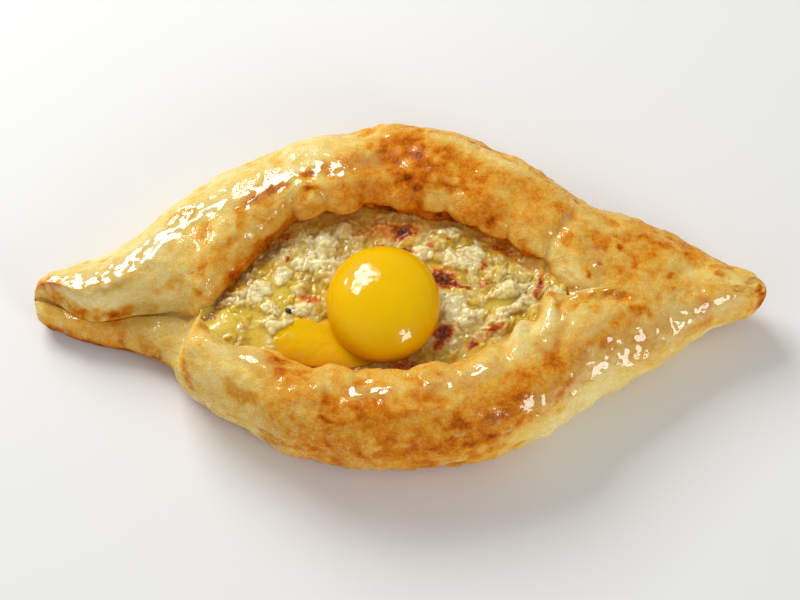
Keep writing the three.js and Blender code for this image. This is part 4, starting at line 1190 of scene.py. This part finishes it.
# %% Seed
seed_finish, tree, shader = new_material("seed_coat", {"Roughness": 0.35})
seed_shade = blend(tree, mottle(tree, 0.5, 1.5), colour(18, 16, 18), colour(40, 36, 36))
tree.links.new(seed_shade, shader.inputs["Base Color"])
add_bump(tree, shader, mottle(tree, 0.3), 0.05)

# %% [markdown]
# Each piece now gets its finish and its place in the frame. All of it is one rigid thing, so every piece
# rides the same body. Four pieces stand in for the CAD's solids; the seed is part of the cheese there.

# %% Put the finishes on and tie the pieces to the frame
DRESSED = [  # piece, finish, CAD node it stands for, material slot
    (crust, dough_finish, "crust", "baked_dough"), (cheese, cheese_finish, "cheese", "curd_cheese"),
    (yolk, yolk_finish, "yolk", "egg_yolk"), (spilled, spill_finish, "spilled_yolk", "runny_yolk"),
    (black_seed, seed_finish, None, None),
]
for piece, finish, cad_node, slot in DRESSED:
    piece.data.materials.append(finish)
    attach(piece, "root")
    if cad_node:
        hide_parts(cad_node)

# %% [markdown]
# The stage is a pale floor under the bread, so large that its edge stays out of the picture.

# %% Floor
FLOOR_HALF = 3.0
corners = [(sx * FLOOR_HALF, sy * FLOOR_HALF, 0) for sx, sy in ((-1, -1), (1, -1), (1, 1), (-1, 1))]
floor_mesh = bpy.data.meshes.new("floor")
floor_mesh.from_pydata(corners, [], [(0, 1, 2, 3)])
floor = bpy.data.objects.new("floor", floor_mesh)
bpy.context.scene.collection.objects.link(floor)
floor_constants = {"Base Color": colour(236, 236, 234), "Roughness": 0.7}
floor_finish, tree, shader = new_material("pale_floor", floor_constants)
floor.data.materials.append(floor_finish)

# %% [markdown]
# The camera looks down steeply, as a cook does at the table, through a long lens, so that the near and the
# far roll come out at the same scale. It stands on a line from its target, at the chosen elevation.

# %% Camera
TARGET = np.array([0.0002, -0.0029, 0.018])
VIEW_DISTANCE, ELEVATION = 0.7765, math.radians(64)
LENS_MM, SENSOR_MM = 100, 36
camera_data = bpy.data.cameras.new("camera")
camera_data.lens, camera_data.sensor_width = LENS_MM, SENSOR_MM
camera = bpy.data.objects.new("camera", camera_data)
bpy.context.scene.collection.objects.link(camera)
camera.location = TARGET + VIEW_DISTANCE * np.array([0, -math.cos(ELEVATION), math.sin(ELEVATION)])
camera.rotation_euler = (math.pi / 2 - ELEVATION, 0, 0)
bpy.context.scene.camera = camera

# %% [markdown]
# Butter only looks wet when it mirrors something bright. So the key light is a soft box behind and to the
# left, which lights the far roll's gloss, and a second one stands low in front to the right for the near
# roll. A large weak fill from the front left and an even white sky keep the shadows open.

# %% Lights
SKY = 0.36
LIGHT_DISTANCE = 1.0
LIGHTS = [  # name, towards it from the bread, its two sizes in metres, watts
    ("key", (-0.45, 0.62, 0.64), (0.62, 0.48), 8.4),
    ("front", (0.64, -0.63, 0.32), (0.32, 0.7), 3.7),
    ("fill", (-0.6, -0.5, 0.62), (1.0, 1.0), 0.8),
]
world = bpy.data.worlds.new("studio")
bpy.context.scene.world = world
world.use_nodes = True
background = world.node_tree.nodes["Background"].inputs
background["Color"].default_value, background["Strength"].default_value = (1, 1, 1, 1), SKY
for name, direction, sizes, watts in LIGHTS:
    light = bpy.data.lights.new(name, "AREA")
    light.shape, light.energy = "RECTANGLE", watts
    light.size, light.size_y = sizes
    holder = bpy.data.objects.new(name, light)
    bpy.context.scene.collection.objects.link(holder)
    towards = Vector(direction).normalized()
    holder.location = Vector(TARGET) + LIGHT_DISTANCE * towards
    holder.rotation_euler = towards.to_track_quat("Z", "Y").to_euler()
bpy.context.scene.view_settings.view_transform = "Standard"
print("lights:", ", ".join(row[0] for row in LIGHTS))

# %% [markdown]
